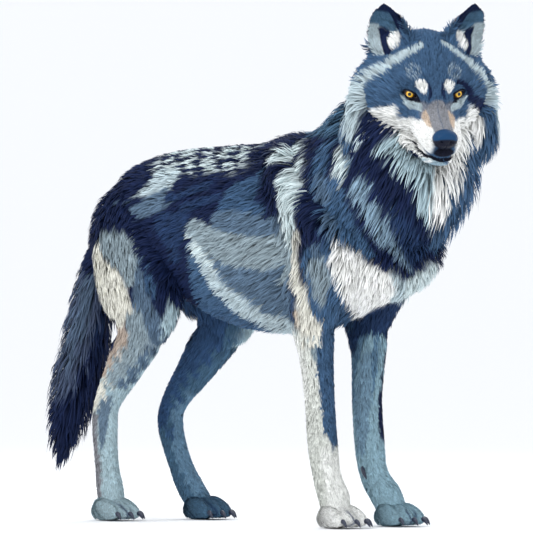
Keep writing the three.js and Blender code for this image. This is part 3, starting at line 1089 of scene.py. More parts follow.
PART_OF_LIMB = {
    "trunk": Part.TRUNK_LEFT, "neck": Part.NECK_LEFT, "tail": Part.TAIL, "skull": Part.FACE,
    "muzzle": Part.FACE, "jaw": Part.FACE, "cheek": Part.FACE, "ruff": Part.CHEEKS,
    "ear": Part.EARS, "shoulder": Part.TRUNK_LEFT, "thigh": Part.HIND_LEFT,
    "foreleg": Part.FORE_LEFT, "hind": Part.HIND_LEFT, "paw": Part.FORE_LEFT, "toe": Part.FORE_LEFT,
}


@dataclass
class Lie:
    """The coat's lie, depth and length at a set of points, and where each lies on its limb.

    limb is the nearest limb's number in names, and offset the way from its spine to the point,
    in the spine's radii there.
    """

    lie: Array
    coat: Array
    hair: Array
    limb: Array
    offset: Array
    normal: Array
    names: list[str]

    def on(self, *words: str) -> Array:
        """True where the nearest limb's name starts with one of the words."""
        hit = np.array([name.startswith(words) for name in self.names])
        return hit[self.limb]


CHUNK = 8000  # points worked at a time
CHEST_BAND = (350, 490)  # before the middle, where the chest's hair turns down and gets short
MANE_FOOT = (575, 640)  # the heights over which the mane begins
MANE_TOP = (740, 820)  # and ends
LIP_HAIR = 0.0065  # metres, and so are the next two
EAR_HAIR = 0.026
EAR_COAT = 0.008


def lie_of(points: Array, normals: Array, sharp: float = 9.0) -> Lie:
    """The coat's fields at points.

    A spine sample's nearness is q, the distance over its radius. Each value is the mean of the
    samples', weighted by exp(-sharp * (q - least q)). Then the hair is shortened round the eyes
    and lips, turned down on the chest, raised in the mane, and set upright in the ears.

    Args:
        points: N by 3 points of the skin.
        normals: the unit normals there.
        sharp: how fast a farther sample loses its weight.

    Returns:
        The fields, with a unit lie that runs along the skin.
    """
    limbs = all_limbs() + [ear.limb() for ear in EARS]
    samples = [limb.spine() for limb in limbs]
    at = np.vstack([s["at"] for s in samples])
    radius = np.concatenate([s["radius"] for s in samples])
    lie = np.vstack([s["lie"] for s in samples])
    coat = np.concatenate([s["coat"] for s in samples])
    hair = np.concatenate([s["hair"] for s in samples])
    limb = np.repeat(np.arange(len(limbs)), [len(s["at"]) for s in samples])
    count = len(points)
    out = Lie(np.zeros((count, 3)), np.zeros(count), np.zeros(count), np.zeros(count, int),
              np.zeros((count, 3)), normals, [item.name for item in limbs])
    for start in range(0, count, CHUNK):
        part = slice(start, start + CHUNK)
        gap = np.sqrt(np.maximum(
            (points[part] ** 2).sum(1)[:, None] + (at**2).sum(1) - 2 * points[part] @ at.T, 0))
        near = gap / radius
        nearest = near.argmin(1)
        weight = np.exp(-sharp * (near - near.min(1, keepdims=True)))
        weight /= weight.sum(1, keepdims=True)
        out.lie[part] = weight @ lie
        out.coat[part] = weight @ coat
        out.hair[part] = weight @ hair
        out.limb[part] = limb[nearest]
        out.offset[part] = (points[part] - at[nearest]) / radius[nearest, None]
    head = to_head(points)
    for eye in EYES:
        local = eye.local(head)
        away = smooth(eye.reach(local), 1.2, 4.5) * (local[:, 2] > -16) + (local[:, 2] <= -16)
        out.hair *= 0.35 + 0.65 * away
    trimmed = MOUTH.near(head, 15.0)
    out.hair += trimmed * (np.minimum(out.hair, LIP_HAIR) - out.hair)
    _, y, z = to_body(points).T
    chest = smooth(-y, *CHEST_BAND) * out.on("trunk")
    out.lie[:, 2] -= 3.0 * chest
    out.hair *= 1 - 0.42 * chest
    mane = smooth(z, *MANE_FOOT) * fade(z, *MANE_TOP)
    mane = mane * smooth(-normals[:, 1], 0.2, 0.6) * out.on("trunk", "neck", "shoulder")
    out.coat += 0.020 * mane
    out.hair += 0.024 * mane
    for ear in EARS:
        across, inside = ear.local(head, normals)
        own = out.on(ear.limb().name)
        out.hair *= 1 - 0.34 * own
        tufted = smooth(inside, 0.5, 0.9) * own * smooth(across, -0.50, -0.32)
        tufted = tufted * fade(across, 0.0, 0.30) * fade(head[:, 2], 96, 112)
        out.hair += tufted * (EAR_HAIR - out.hair)
        out.coat += tufted * (EAR_COAT - out.coat)
        sweep = np.array([ear.side.value * 0.9, -0.15, 1.0]) @ HEAD[:3, :3].T / HEAD_SIZE
        out.lie += tufted[:, None] * (sweep - out.lie)
    inward = out.lie - normals * (out.lie * normals).sum(1, keepdims=True)
    out.lie = unit(inward + 1e-6)
    return out


LEGS_APART = -50  # y between the forelegs and the hind legs
RUMP_FRONT = 100  # y where the rump begins
THIGH_TOP = 600  # over this height a thigh is rump


def parts_of(points: Array, lie: Lie) -> Array:
    """Sorts points into the coat's regions by their nearest limb and their place.

    Args:
        points: N by 3 points of the skin.
        lie: the coat's fields there.

    Returns:
        The number of each point's Part.
    """
    x, y, z = to_body(points).T
    part = np.array([PART_OF_LIMB[name.split("_")[0]].value for name in lie.names])[lie.limb]
    hind = y > LEGS_APART
    leg = lie.on("paw", "toe", "foreleg", "hind", "thigh")
    part = np.where(leg & hind, Part.HIND_LEFT.value, part)
    part = np.where(lie.on("thigh") & (z > THIGH_TOP), Part.RUMP.value, part)
    part = np.where(leg & ~hind & lie.on("foreleg", "paw", "toe"), Part.FORE_LEFT.value, part)
    part = np.where(lie.on("trunk") & (y > RUMP_FRONT), Part.RUMP.value, part)
    paired = np.isin(part, [p.value for p in Part if p.name.endswith("_LEFT")])
    return part + (paired & (x < 0))


# ---- markings


def linear(code: str) -> Array:
    """A colour such as 19233a as linear red, green and blue."""
    value = np.array([int(code[i:i + 2], 16) for i in (0, 2, 4)]) / 255
    return np.where(value <= 0.04045, value / 12.92, ((value + 0.055) / 1.055) ** 2.4)


class Dye(Enum):
    """The coat's colours."""

    NAVY = "142143"
    DEEP = "24395c"
    SLATE = "3f5c7c"
    BLUE = "4b6c87"
    STEEL = "5a7086"
    HAZE = "7f99ac"
    GREY = "8b9ba3"
    MIST = "b4c4ca"
    PALE = "cbd9db"
    WHITE = "f0f1ee"
    CREAM = "dad9cf"
    TAN = "c9b39d"
    DUN = "8a8c92"
    INK = "0d1122"
    ASH = "d3d6d0"
    FROST = "aec5cd"
    ICE = "93b3c1"
    SKY = "7c9bb0"
    DENIM = "5f809a"
    COOL = "6a8ca6"
    MARINE = "3a5880"
    DUSK = "445069"
    SAND = "b5a699"
    # a painted highlight on the nose pad
    ROYAL = "143b60"

    @property
    def rgb(self) -> Array:
        """The colour in linear light."""
        return linear(self.value)


@dataclass(frozen=True)
class Stroke:
    """A marking along a path: full within three quarters of its width, gone at five quarters."""

    dye: Dye
    width: float
    path: tuple[tuple[float, ...], ...]
    strength: float = 1.0
    grow: float = 1.0

    def cover(self, points: Array) -> Array:
        """How much of the marking each point carries.

        It comes from the distance to the nearest of the path's straight pieces, over the width,
        which runs from width to width * grow along the path.
        """
        path = np.array(self.path, float)
        least = np.full(len(points), np.inf)
        for i, ends in enumerate(zip(path[:-1], path[1:])):
            t, gap = to_line(points, *ends)
            share = (i + t) / (len(path) - 1)
            least = np.minimum(least, gap / (self.width * (1 + (self.grow - 1) * share)))
        return fade(least, 0.75, 1.25) * self.strength


@dataclass(frozen=True)
class Area:
    """A marking with its own outline on a flat view, soft at the edge."""

    dye: Dye
    outline: tuple[tuple[float, float], ...]
    strength: float = 1.0
    soft: float = 4.5

    def cover(self, flat: Array) -> Array:
        """How much each point carries, by how deep it lies inside the outline.

        A point is inside when a level ray from it crosses the outline's straight sides an odd
        number of times. Its depth is the distance to the nearest side, negative outside.
        """
        path = np.array(self.outline, float)
        near = ((flat > path.min(0) - self.soft) & (flat < path.max(0) + self.soft)).all(1)
        at = flat[near]
        least = np.full(len(at), np.inf)
        inside = np.zeros(len(at), bool)
        for start, end in zip(path, np.roll(path, -1, 0)):
            least = np.minimum(least, to_line(at, start, end)[1])
            run = end - start
            crossing = start[0] + run[0] * (at[:, 1] - start[1]) / (run[1] or 1.0)
            inside ^= ((start[1] > at[:, 1]) != (end[1] > at[:, 1])) & (at[:, 0] < crossing)
        cover = np.zeros(len(flat))
        cover[near] = smooth(np.where(inside, least, -least), -self.soft, self.soft) * self.strength
        return cover


# side view: y and z in the body's millimetres, painted in this order on both sides
SIDE_MARKS = (
    Area(Dye.STEEL, ((10, 620), (-80, 600), (-300, 590), (-330, 380), (-100, 370), (10, 460))),
    # painted shade: the belly's underside and the groin in slate
    Area(Dye.SLATE, (
        (2, 552), (-24, 526), (-51, 479), (-79, 446), (-134, 414), (-134, 360), (150, 360),
        (90, 400), (50, 437), (31, 477), (13, 519)), 0.9),
    Area(Dye.MIST, ((107, 748), (72, 729), (81, 694), (126, 675), (195, 677), (149, 702), (135, 733))),
    Area(Dye.STEEL, ((89, 696), (72, 658), (126, 638), (166, 629), (189, 654), (138, 677))),
    Area(Dye.STEEL, ((223, 663), (200, 669), (206, 646), (223, 644)), 0.8),
    Area(Dye.DEEP, ((104, 648), (4, 644), (41, 540), (67, 540), (81, 590), (109, 615)), 0.9),
    Area(Dye.SLATE, (
        (-101, 702), (-169, 729), (-186, 673), (-220, 640), (-152, 623), (-78, 623), (-89, 669)), 0.85),
    Area(Dye.STEEL, (
        (-70, 644), (-129, 656), (-214, 623), (-277, 627), (-286, 565), (-209, 586), (-138, 598),
        (-67, 606))),
    Area(Dye.GREY, (
        (-1, 631), (16, 615), (-21, 577), (-89, 538), (-152, 528), (-214, 528), (-286, 544), (-291, 588),
        (-214, 598), (-138, 602), (-72, 615))),
    Area(Dye.STEEL, (
        (-67, 540), (-152, 528), (-214, 523), (-300, 544), (-311, 465), (-283, 420), (-214, 407),
        (-163, 420), (-118, 461), (-78, 503))),
    Area(Dye.PALE, (
        (16, 611), (-27, 575), (-66, 540), (-79, 504), (-42, 510), (-24, 530), (-1, 561))),
    Area(Dye.MIST, (
        (-10, 560), (-42, 544), (-79, 504), (-134, 462), (-170, 440), (-244, 420), (-320, 408), (-320, 340),
        (-134, 340), (-134, 410), (-79, 440), (-51, 474), (-24, 522))),
    Area(Dye.DEEP, ((-277, 496), (-320, 503), (-328, 455), (-294, 411), (-268, 428), (-291, 465)), 0.8),
    Area(Dye.GREY, ((-268, 582), (-303, 569), (-283, 515), (-243, 484), (-226, 490), (-257, 544))),
    Stroke(Dye.DEEP, 11, ((75, 673), (-38, 700)), 0.9),
    Stroke(Dye.DEEP, 9, ((30, 652), (-72, 673)), 0.9),
    Area(Dye.PALE, (
        (-322, 818), (-303, 781), (-268, 746), (-257, 694), (-263, 660), (-268, 619), (-280, 575),
        (-300, 565), (-314, 606), (-320, 623), (-317, 673), (-317, 714), (-328, 746), (-348, 777),
        (-357, 810))),
    Area(Dye.PALE, (
        (-351, 831), (-266, 818), (-220, 787), (-197, 764), (-212, 744), (-246, 754), (-277, 777),
        (-322, 793))),
    Area(Dye.CREAM, (
        (-322, 623), (-311, 590), (-291, 544), (-283, 501), (-308, 474), (-320, 440), (-345, 440),
        (-351, 507), (-334, 544), (-331, 590))),
    Area(Dye.TAN, ((-294, 440), (-351, 449), (-357, 413), (-322, 393), (-288, 411)), 0.8),
)
# the thighs, over the side view
THIGH_MARKS = (
    Area(Dye.NAVY, (
        (290, 559), (262, 624), (209, 663), (124, 642), (-4, 642), (-1, 544), (1, 465), (61, 378),
        (95, 386), (124, 465), (146, 569), (203, 611), (249, 598))),
    Area(Dye.GREY, (
        (257, 575), (240, 602), (178, 602), (135, 588), (130, 550), (136, 500), (158, 480), (178, 523),
        (223, 548))),
    Area(Dye.STEEL, (
        (135, 592), (120, 565), (112, 500), (100, 450), (84, 428), (67, 382), (95, 300), (180, 300),
        (170, 400), (158, 440), (145, 436), (140, 500), (133, 550)), 0.95),
    Area(Dye.CREAM, (
        (276, 563), (250, 570), (223, 544), (186, 527), (160, 486), (143, 436), (166, 420), (186, 395),
        (220, 400), (246, 436), (262, 461), (278, 511))),
    Area(Dye.GREY, ((143, 436), (166, 424), (172, 400), (169, 320), (138, 320), (112, 380), (120, 430)), 0.9),
    Area(Dye.SAND, ((180, 404), (220, 405), (222, 395), (212, 320), (166, 320), (170, 390)), 0.95),
    Area(Dye.SLATE, (
        (117, 577), (95, 590), (75, 573), (70, 540), (84, 486), (90, 453), (108, 482), (116, 540)), 0.9),
    Area(Dye.FROST, (
        (30, 494), (10, 474), (10, 400), (50, 300), (128, 300), (114, 337), (80, 410), (60, 457),
        (46, 484))),
)
# quarter view: 0.682 x |x| and 0.731 x y taken off together, and z, on the neck, chest and shoulders
QUARTER_MARKS = (
    Area(Dye.NAVY, (
        (142, 839), (204, 881), (391, 839), (433, 673), (391, 544), (358, 507), (308, 536), (271, 561),
        (225, 694), (188, 735), (167, 590), (150, 577), (138, 673))),
    Area(Dye.BLUE, (
        (142, 822), (194, 856), (246, 881), (250, 831), (229, 798), (221, 777), (196, 785), (179, 806),
        (154, 802)), 0.9),
    Area(Dye.SLATE, (
        (163, 777), (188, 785), (192, 727), (219, 698), (239, 648), (271, 600), (296, 557), (275, 550),
        (246, 577), (225, 582), (194, 582), (175, 606), (165, 648), (158, 694))),
    Area(Dye.STEEL, ((169, 731), (188, 723), (204, 681), (188, 665), (171, 665), (163, 698)), 0.7),
    Area(Dye.STEEL, ((179, 648), (204, 640), (219, 598), (194, 586), (177, 611)), 0.6),
    Area(Dye.CREAM, ((120, 505), (150, 490), (163, 440), (188, 420), (204, 300), (120, 300))),
    Area(Dye.SLATE, (
        (154, 577), (177, 584), (204, 577), (200, 536), (219, 482), (237, 440), (254, 403), (250, 316),
        (204, 316), (188, 420), (163, 440), (150, 486), (146, 544))),
    Area(Dye.STEEL, ((158, 577), (179, 582), (196, 544), (175, 544)), 0.8),
    Area(Dye.GREY, (
        (161, 552), (188, 555), (200, 515), (190, 486), (194, 463), (183, 447), (165, 482),
        (156, 519)), 0.9),
    Area(Dye.WHITE, (
        (206, 590), (237, 577), (264, 561), (273, 544), (287, 536), (320, 528), (341, 507), (345, 482),
        (318, 461), (287, 440), (252, 420), (233, 449), (219, 478), (204, 507), (196, 544))),
    Area(Dye.MIST, ((320, 532), (358, 507), (379, 515), (379, 474), (350, 457), (320, 461), (337, 486))),
    Area(Dye.PALE, ((354, 507), (412, 544), (433, 544), (412, 465), (358, 432), (350, 465))),
    Area(Dye.DEEP, ((250, 420), (291, 449), (325, 461), (354, 457), (374, 453), (370, 382), (250, 372))),
    Area(Dye.PALE, ((198, 756), (212, 781), (231, 777), (231, 744), (227, 723), (217, 702), (204, 719))),
    Area(Dye.HAZE, ((229, 773), (246, 756), (237, 731), (227, 723)), 0.8),
    Area(Dye.MIST, ((229, 843), (262, 835), (271, 810), (254, 777), (235, 783), (227, 814))),
    Area(Dye.HAZE, (
        (231, 681), (248, 710), (264, 719), (266, 698), (283, 698), (273, 673), (289, 665), (306, 652),
        (300, 619), (316, 644), (323, 598), (308, 573), (289, 598), (273, 627), (248, 660))),
    Area(Dye.HAZE, (
        (318, 611), (335, 590), (354, 573), (370, 548), (370, 528), (350, 542), (331, 552),
        (316, 577)), 0.85),
    Area(Dye.DEEP, ((320, 665), (354, 623), (408, 569), (370, 536), (345, 569), (329, 606)), 0.9),
    Area(Dye.FROST, (
        (283, 773), (350, 802), (374, 764), (428, 756), (416, 673), (412, 594), (399, 615), (374, 660),
        (358, 702), (345, 710), (316, 744))),
    Area(Dye.WHITE, (
        (416, 702), (425, 850), (570, 870), (516, 735), (474, 681), (443, 642), (412, 592), (404, 619),
        (412, 660))),
)
# the head's millimetres seen from the front: x taken on both sides, and height over the eyes
FACE_MARKS = (
    Area(Dye.WHITE, (
        (115, -31), (103, -27), (89, -25), (77, -21), (73, -37), (71, -52), (65, -62), (62, -75),
        (63, -87), (76, -90), (91, -88), (104, -77), (114, -56))),
    Area(Dye.WHITE, (
        (84, -68), (80, -53), (63, -46), (47, -46), (37, -52), (31, -51), (26, -52), (13, -68), (18, -68),
        (28, -149), (20, -130), (43, -116), (59, -105), (78, -87))),
    Area(Dye.DUN, ((38, -15), (26, -15), (17, -21), (15, -37), (24, -48), (34, -44), (32, -32)), 0.7),
    Area(Dye.DUN, (
        (0, -10), (9, -13), (17, -20), (24, -36), (24, -52), (22, -66), (19, -74), (0, -76)), 1.0, 2.5),
    Area(Dye.TAN, (
        (33, -47), (29, -38), (23, -32), (20, -42), (20, -56), (22, -68), (28, -62)), 0.85, 2.0),
    Area(Dye.MIST, (
        (68, -1), (57, -9), (39, -13), (29, -21), (30, -35), (39, -31), (53, -26), (64, -16)), 0.95, 1.6),
    Area(Dye.NAVY, (
        (17, 26), (12, 22), (8, 10), (9, 0), (14, -9), (19, -12), (16, 2), (15, 14)), 0.9, 1.4),
    Area(Dye.WHITE, (
        (41, 22), (33, 28), (22, 28), (16, 20), (18, 10), (23, 1), (30, 4), (38, 13)), 1.0, 1.4),
)
# the same view with x as it is: the throat's left side is white, and on its right side the navy and frost are
# painted shade
THROAT_MARKS = (
    Stroke(Dye.MIST, 4.5, (
        (-19, 96), (-40, 85), (-61, 73), (-84, 60), (-107, 47), (-123, 34), (-135, 18), (-144, -4),
        (-146, -30), (-146, -60), (-143, -92)), 1.0, 3.2),
    Stroke(Dye.MIST, 4.5, (
        (27, 102), (60, 77), (80, 64), (98, 50), (126, 22), (143, -6), (152, -30), (158, -60), (160, -95)),
        1.0, 2.8),
    # painted shade: navy on the right side of the neck, below the cheek
    Area(Dye.NAVY, (
        (-134, -46), (-119, -49), (-106, -72), (-91, -88), (-58, -88), (-80, -100), (-99, -108),
        (-82, -130), (-62, -146), (-29, -166), (-4, -196), (15, -230), (20, -260), (20, -320), (-150, -320),
        (-150, -120))),
    # painted shade: frost on the right side of the throat, which is white on the left
    Area(Dye.FROST, (
        (-113, -109), (-90, -98), (-68, -86), (-48, -91), (-35, -114), (-10, -130), (22, -142), (24, -200),
        (26, -262), (20, -264), (13, -230), (-4, -200), (-18, -176), (-29, -169), (-47, -163), (-67, -151),
        (-92, -132), (-104, -119))),
    Area(Dye.WHITE, (
        (14, -128), (34, -112), (62, -88), (91, -75), (112, -62), (122, -84), (113, -105), (104, -120),
        (88, -136), (72, -156), (60, -180), (50, -205), (38, -226), (22, -262), (22, -169))),
    Area(Dye.SLATE, (
        (112, -34), (126, -30), (140, -44), (152, -91), (150, -320), (10, -320), (22, -262), (38, -226),
        (50, -205), (60, -180), (72, -156), (88, -136), (104, -120), (113, -105), (122, -83)), 0.95),
    Area(Dye.HAZE, ((-30, -129), (-12, -132), (22, -142), (1, -149), (-9, -177), (-26, -161)), 0.7),
)
# the same quarter view, on the far edge of the neck and chest
EDGE_MARKS = (
    Area(Dye.SLATE, (
        (505, 797), (536, 839), (547, 797), (516, 714), (491, 642), (453, 579), (422, 559), (401, 569),
        (433, 621), (464, 683), (485, 735))),
    Area(Dye.NAVY, ((370, 517), (412, 544), (443, 569), (401, 532))),
)
# an ear's inside: hundredths of its half width from the inner rim to the outer, and height
EAR_MARKS = (
    Area(Dye.PALE, ((-130, 100), (130, 100), (130, 20), (-130, 20))),
    Area(Dye.MIST, ((42, 106), (130, 110), (130, 20), (30, 20), (44, 60))),
    Area(Dye.NAVY, ((16, 106), (50, 98), (50, 76), (38, 60), (26, 40), (-22, 40), (-8, 60), (10, 80))),
    Area(Dye.WHITE, ((-52, 84), (-34, 101), (-8, 102), (14, 88), (6, 70), (-18, 64), (-42, 70))),
    Area(Dye.NAVY, (
        (-150, 160), (-40, 160), (-42, 92), (-56, 77), (-62, 58), (-40, 40), (-40, 20), (-150, 20))),
    Area(Dye.NAVY, ((-150, 180), (150, 180), (150, 136), (-150, 134))),
    Area(Dye.NAVY, ((84, 180), (150, 180), (150, 104), (88, 108))),
)
# the tail: hundredths of its half width across the quarter view, and height
TAIL_MARKS = (
    Area(Dye.DUSK, (
        (-150, 600), (20, 600), (22, 430), (6, 340), (-20, 262), (-44, 238), (-150, 226)), 1.0, 12),
    Area(Dye.STEEL, ((-66, 540), (-28, 540), (-22, 400), (-44, 290), (-66, 300), (-84, 400)), 0.6, 14),
    Area(Dye.DEEP, ((22, 560), (44, 560), (48, 400), (34, 330), (24, 400)), 0.7, 10),
)


@dataclass(frozen=True)
class LegCoat:
    """One leg's colours: its ground, its paw, and marks over hundredths of its half width across
    the quarter view, and height."""

    ground: Dye
    paw: Dye
    marks: tuple[Area, ...]


LEG_COATS = {
    "fore_right": LegCoat(Dye.ASH, Dye.WHITE, (
        Area(Dye.WHITE, ((-150, 420), (-80, 400), (-70, 300), (-86, 230), (-150, 200)), 0.6, 14),
        Area(Dye.WHITE, ((-20, 150), (150, 170), (150, 0), (-60, 0)), 0.75, 26),
        Area(Dye.GREY, ((-40, 425), (-25, 350), (12, 335), (45, 360), (40, 425)), 1.0, 9),
        Area(Dye.SLATE, (
            (22, 392), (-10, 340), (3, 299), (6, 257), (0, 216), (10, 195), (35, 174), (60, 163), (90, 172),
            (150, 182), (150, 480), (-60, 480), (-40, 420), (10, 408)), 1.0, 7),
    )),
    # the far foreleg in darker blues: painted shade over the same pale coat as the near one
    "fore_left": LegCoat(Dye.ICE, Dye.ICE, (
        Area(Dye.SKY, (
            (-90, 150), (-90, 257), (-60, 320), (-30, 360), (12, 350), (12, 257), (6, 200),
            (-40, 145)), 1.0, 9),
        Area(Dye.DENIM, (
            (-150, 210), (-88, 240), (-78, 300), (-48, 350), (-10, 385), (14, 385), (16, 257), (26, 247),
            (44, 299), (54, 480), (-150, 480)), 1.0, 7),
        Area(Dye.DEEP, (
            (-150, 480), (-150, 335), (-100, 345), (-55, 372), (-10, 398), (50, 405), (60, 480)), 1.0, 8),
        Area(Dye.NAVY, (
            (76, 480), (74, 340), (76, 299), (72, 257), (70, 216), (62, 186), (66, 168), (84, 164),
            (150, 176), (150, 480)), 1.0, 6),
    )),
    "hind_right": LegCoat(Dye.FROST, Dye.FROST, (
        Area(Dye.DUN, ((-150, 236), (-62, 222), (-56, 120), (-66, 40), (-150, 26)), 1.0, 10),
        Area(Dye.GREY, (
            (-62, 430), (22, 430), (12, 340), (-8, 299), (-34, 264), (-62, 266), (-66, 300)), 1.0, 8),
        Area(Dye.STEEL, (
            (22, 430), (60, 430), (56, 330), (50, 290), (30, 266), (-14, 270), (2, 320)), 1.0, 7),
        Area(Dye.SAND, ((-150, 430), (-64, 430), (-68, 330), (-86, 288), (-150, 288)), 1.0, 8),
        Area(Dye.CREAM, ((-150, 292), (-86, 292), (-52, 262), (-56, 236), (-150, 214)), 1.0, 8),
        Area(Dye.STEEL, (
            (-64, 242), (-4, 252), (28, 226), (20, 192), (-16, 152), (-40, 138), (-50, 184)), 0.9, 8),
    )),
    # the far hind leg in dark blues: painted shade where the near hind leg is frost
    "hind_left": LegCoat(Dye.BLUE, Dye.BLUE, (
        Area(Dye.COOL, (
            (24, 262), (150, 244), (150, 46), (-30, 46), (-36, 120), (-6, 184), (28, 196), (2, 216)), 1.0, 9),
        Area(Dye.MARINE, (
            (-150, 700), (60, 700), (24, 420), (10, 340), (-26, 299), (-26, 257), (-6, 216), (-50, 184),
            (-150, 176)), 1.0, 8),
        Area(Dye.MARINE, ((-46, 186), (28, 196), (-20, 150)), 0.8, 6),
    )),
}


def blend(colour: Array, dye: Dye, cover: Array) -> Array:
    """The colours with a dye laid over them."""
    return colour + (dye.rgb - colour) * np.clip(cover, 0, 1)[:, None]


def plain(dye: Dye, count: int) -> Array:
    """One colour for a number of points."""
    return np.tile(dye.rgb, (count, 1))


def mixed(first: Array, second: Array, share: Array) -> Array:
    """The first colours where the share is 0, the second where it is 1."""
    return first + (second - first) * share[:, None]


def lay(colour: Array, marks: Iterable[Area | Stroke], flat: Array,
        share: Array | float = 1.0) -> Array:
    """The colours with marks laid over them in order.

    Args:
        colour: N by 3 colours.
        marks: the marks.
        flat: the points' places on the marks' view.
        share: how much of the marks each point takes.
    """
    for mark in marks:
        colour = blend(colour, mark.dye, mark.cover(flat) * share)
    return colour


def ovals(y: Array, z: Array, long: float, high: float) -> Array:
    """Rows of ovals, every other row set half a step along: 1 inside and 0 between."""
    row = np.floor(z / high)
    u = y / long + 0.5 * (row % 2)
    u = (u - np.floor(u) - 0.5) / 0.40
    v = (z / high - row - 0.5) / 0.36
    return fade(np.hypot(u, v), 0.75, 1.15)


def markings(points: Array, lie: Lie) -> Array:
    """The coat's colours, part by part, with edges made ragged by two sizes of noise.

    Args:
        points: N by 3 points of the skin or coat.
        lie: the coat's fields there.

    Returns:
        N by 3 colours in linear light.
    """
    warp = np.stack([noise(points, 0.045, SEED + k) for k in range(3)], 1)
    fine = np.stack([noise(points, 0.014, SEED + 5 + k) for k in range(3)], 1)
    body = to_body(points) + 6 * warp + 3.5 * fine
    head = to_head(points) + 1.6 * warp + 1.2 * fine
    colour = trunk_colours(body, lie)
    colour = leg_colours(colour, body, lie)
    colour = tail_colours(colour, body, lie)
    colour = head_colours(colour, head, lie)
    return ear_colours(colour, head, lie)


FLECK = (42, 14)  # the steps along and up of the flecks on the back
LEG_TOPS = {"fore": 405, "hind": 345}  # heights over which a leg takes the trunk's colours


def trunk_colours(body: Array, lie: Lie) -> Array:
    """The trunk's colours from the side, and the neck's and chest's from the front quarter.

    The quarter view takes x on both sides as the right side's, but as it is where the left
    side faces that view.
    """
    x, y, z = body.T
    ground = plain(Dye.NAVY, len(body))
    side = lay(ground, SIDE_MARKS, body[:, 1:])
    side = lay(side, THIGH_MARKS, body[:, 1:], lie.on("thigh", "hind"))
    flecks = ovals(y + 0.5 * z, z + 0.18 * y, *FLECK)
    area = smooth(z, 716, 738) * fade(np.abs(y - 30), 120, 165)
    side = blend(side, Dye.PALE, flecks * area * (np.abs(x) > 14))
    side = blend(side, Dye.MIST, fade(z, 395, 425) * fade(y, -150, -110))
    toward = smooth(lie.normal[:, :2] @ [QUARTER[1], -QUARTER[0]], -0.70, -0.45) * (x > 0)
    seen, mirrored = (np.stack([QUARTER[0] * out + QUARTER[1] * y, z], 1)
                      for out in (x, -np.abs(x)))
    front = mixed(lay(ground, QUARTER_MARKS, mirrored), lay(ground, QUARTER_MARKS, seen), toward)
    front = lay(front, EDGE_MARKS, seen)
    across = mirrored[:, 0] + (seen - mirrored)[:, 0] * toward
    return mixed(side, front, smooth(across, 128, 146))


def leg_colours(colour: Array, body: Array, lie: Lie) -> Array:
    """Each leg's own ground, marks and paw, with painted shade in the gaps between the toes."""
    x, y, z = body.T
    ragged = 14 * noise(body * [1, 1, 0.4] * MM, 0.012, SEED + 50)
    flat = np.stack([100 * lie.offset[:, :2] @ QUARTER + ragged, z + ragged], 1)
    limbs, paws = lie.on("foreleg", "hind"), lie.on("paw", "toe")
    thigh = lie.on("thigh")
    for name, coat in LEG_COATS.items():
        leg = LEGS[name]
        mine = (x * leg.side.value > 0) & ((y < LEGS_APART) == name.startswith("fore"))
        painted = lay(plain(coat.ground, len(body)), coat.marks, flat)
        # the far hind leg's inner side takes its painted shade up into the thigh
        inward = smooth(-lie.offset[:, 0] * leg.side.value, 0.0, 0.35) * (name == "hind_left")
        top = LEG_TOPS[name[:4]]
        painted = mixed(painted, colour, smooth(z, top, top + 50) * (1 - inward))
        colour = np.where((mine & (limbs | thigh & (inward > 0)))[:, None], painted, colour)
        paw = plain(coat.paw, len(body))
        for toe, after in zip(TOES[:-1], TOES[1:]):
            middle = leg.side.value * (leg.x + leg.scale * (toe.x + after.x) / 2)
            gap = bell((x - middle) / 2.6) * (np.abs(y - leg.paw + 24) < 30)
            # painted shade: deep blue in the gaps between the toes
            paw = blend(paw, Dye.DEEP, 0.8 * gap * fade(z, 30, 46))
        colour = np.where((mine & paws)[:, None], paw, colour)
    return colour


def tail_colours(colour: Array, body: Array, lie: Lie) -> Array:
    """Navy, with a streaked grey back."""
    streak = 16 * noise(body * [1, 1, 0.2] * MM, 0.02, SEED + 40)
    flat = np.stack([100 * lie.offset[:, :2] @ QUARTER + streak, body[:, 2] + streak], 1)
    tail = lay(plain(Dye.NAVY, len(body)), TAIL_MARKS, flat)
    return np.where(lie.on("tail")[:, None], tail, colour)


def head_colours(colour: Array, head: Array, lie: Lie) -> Array:
    """The mask, cheeks, muzzle and brows."""
    on = lie.on("skull", "muzzle", "jaw", "cheek", "ruff") | (
        (head[:, 1] < 70) & (head[:, 2] > -110) & lie.on("neck"))
    x, y, z = head.T
    flat = front_view(head)
    up = flat[:, 1]
    both = np.abs(flat) * [1, 0] + flat * [0, 1]
    front = fade(y - 34 * (x > 0), 100, 124)
    face = blend(plain(Dye.SLATE, len(head)), Dye.NAVY, (1 - front) * fade(z, 40, 80))
    face = lay(face, THROAT_MARKS, flat, front)
    face = lay(face, FACE_MARKS, both, front)
    # painted shadow: a navy curve from the left eye's upper lid down to the cheek, on the left side only
    painted_shadow_band = Stroke(Dye.NAVY, 5.4, ((49, 24), (68, 18), (80, -5), (103, -21), (118, -25)), 1.0, 2.7)
    face = blend(face, painted_shadow_band.dye, painted_shadow_band.cover(both) * (x > 0) * front)
    dash = ovals(both[:, 0], up, 8, 4.0)
    spot = fade(np.hypot((both[:, 0] - 42) / 16, (up - 45) / 17), 0.8, 1.1)
    face = blend(face, Dye.MIST, 0.5 * dash * spot * (y < 60))
    for eye in EYES:
        local = eye.local(head)
        u, v, _ = local.T
        almond = np.abs(v) / np.where(v > 0, 9.0, 9.5) + (u / np.where(u > 0, 20.0, 27.0)) ** 2
        face = blend(face, Dye.INK, eye.near(local) * fade(almond, 0.88, 1.08))
    face = blend(face, Dye.INK, smooth(MOUTH.near(head), 0.2, 0.5))
    muzzle = fade(np.hypot(x / 21, (z + 72) / 15), 0.85, 1.1) * smooth(-y, 122, 130)
    face = blend(face, Dye.INK, muzzle)
    return np.where(on[:, None], face, colour)


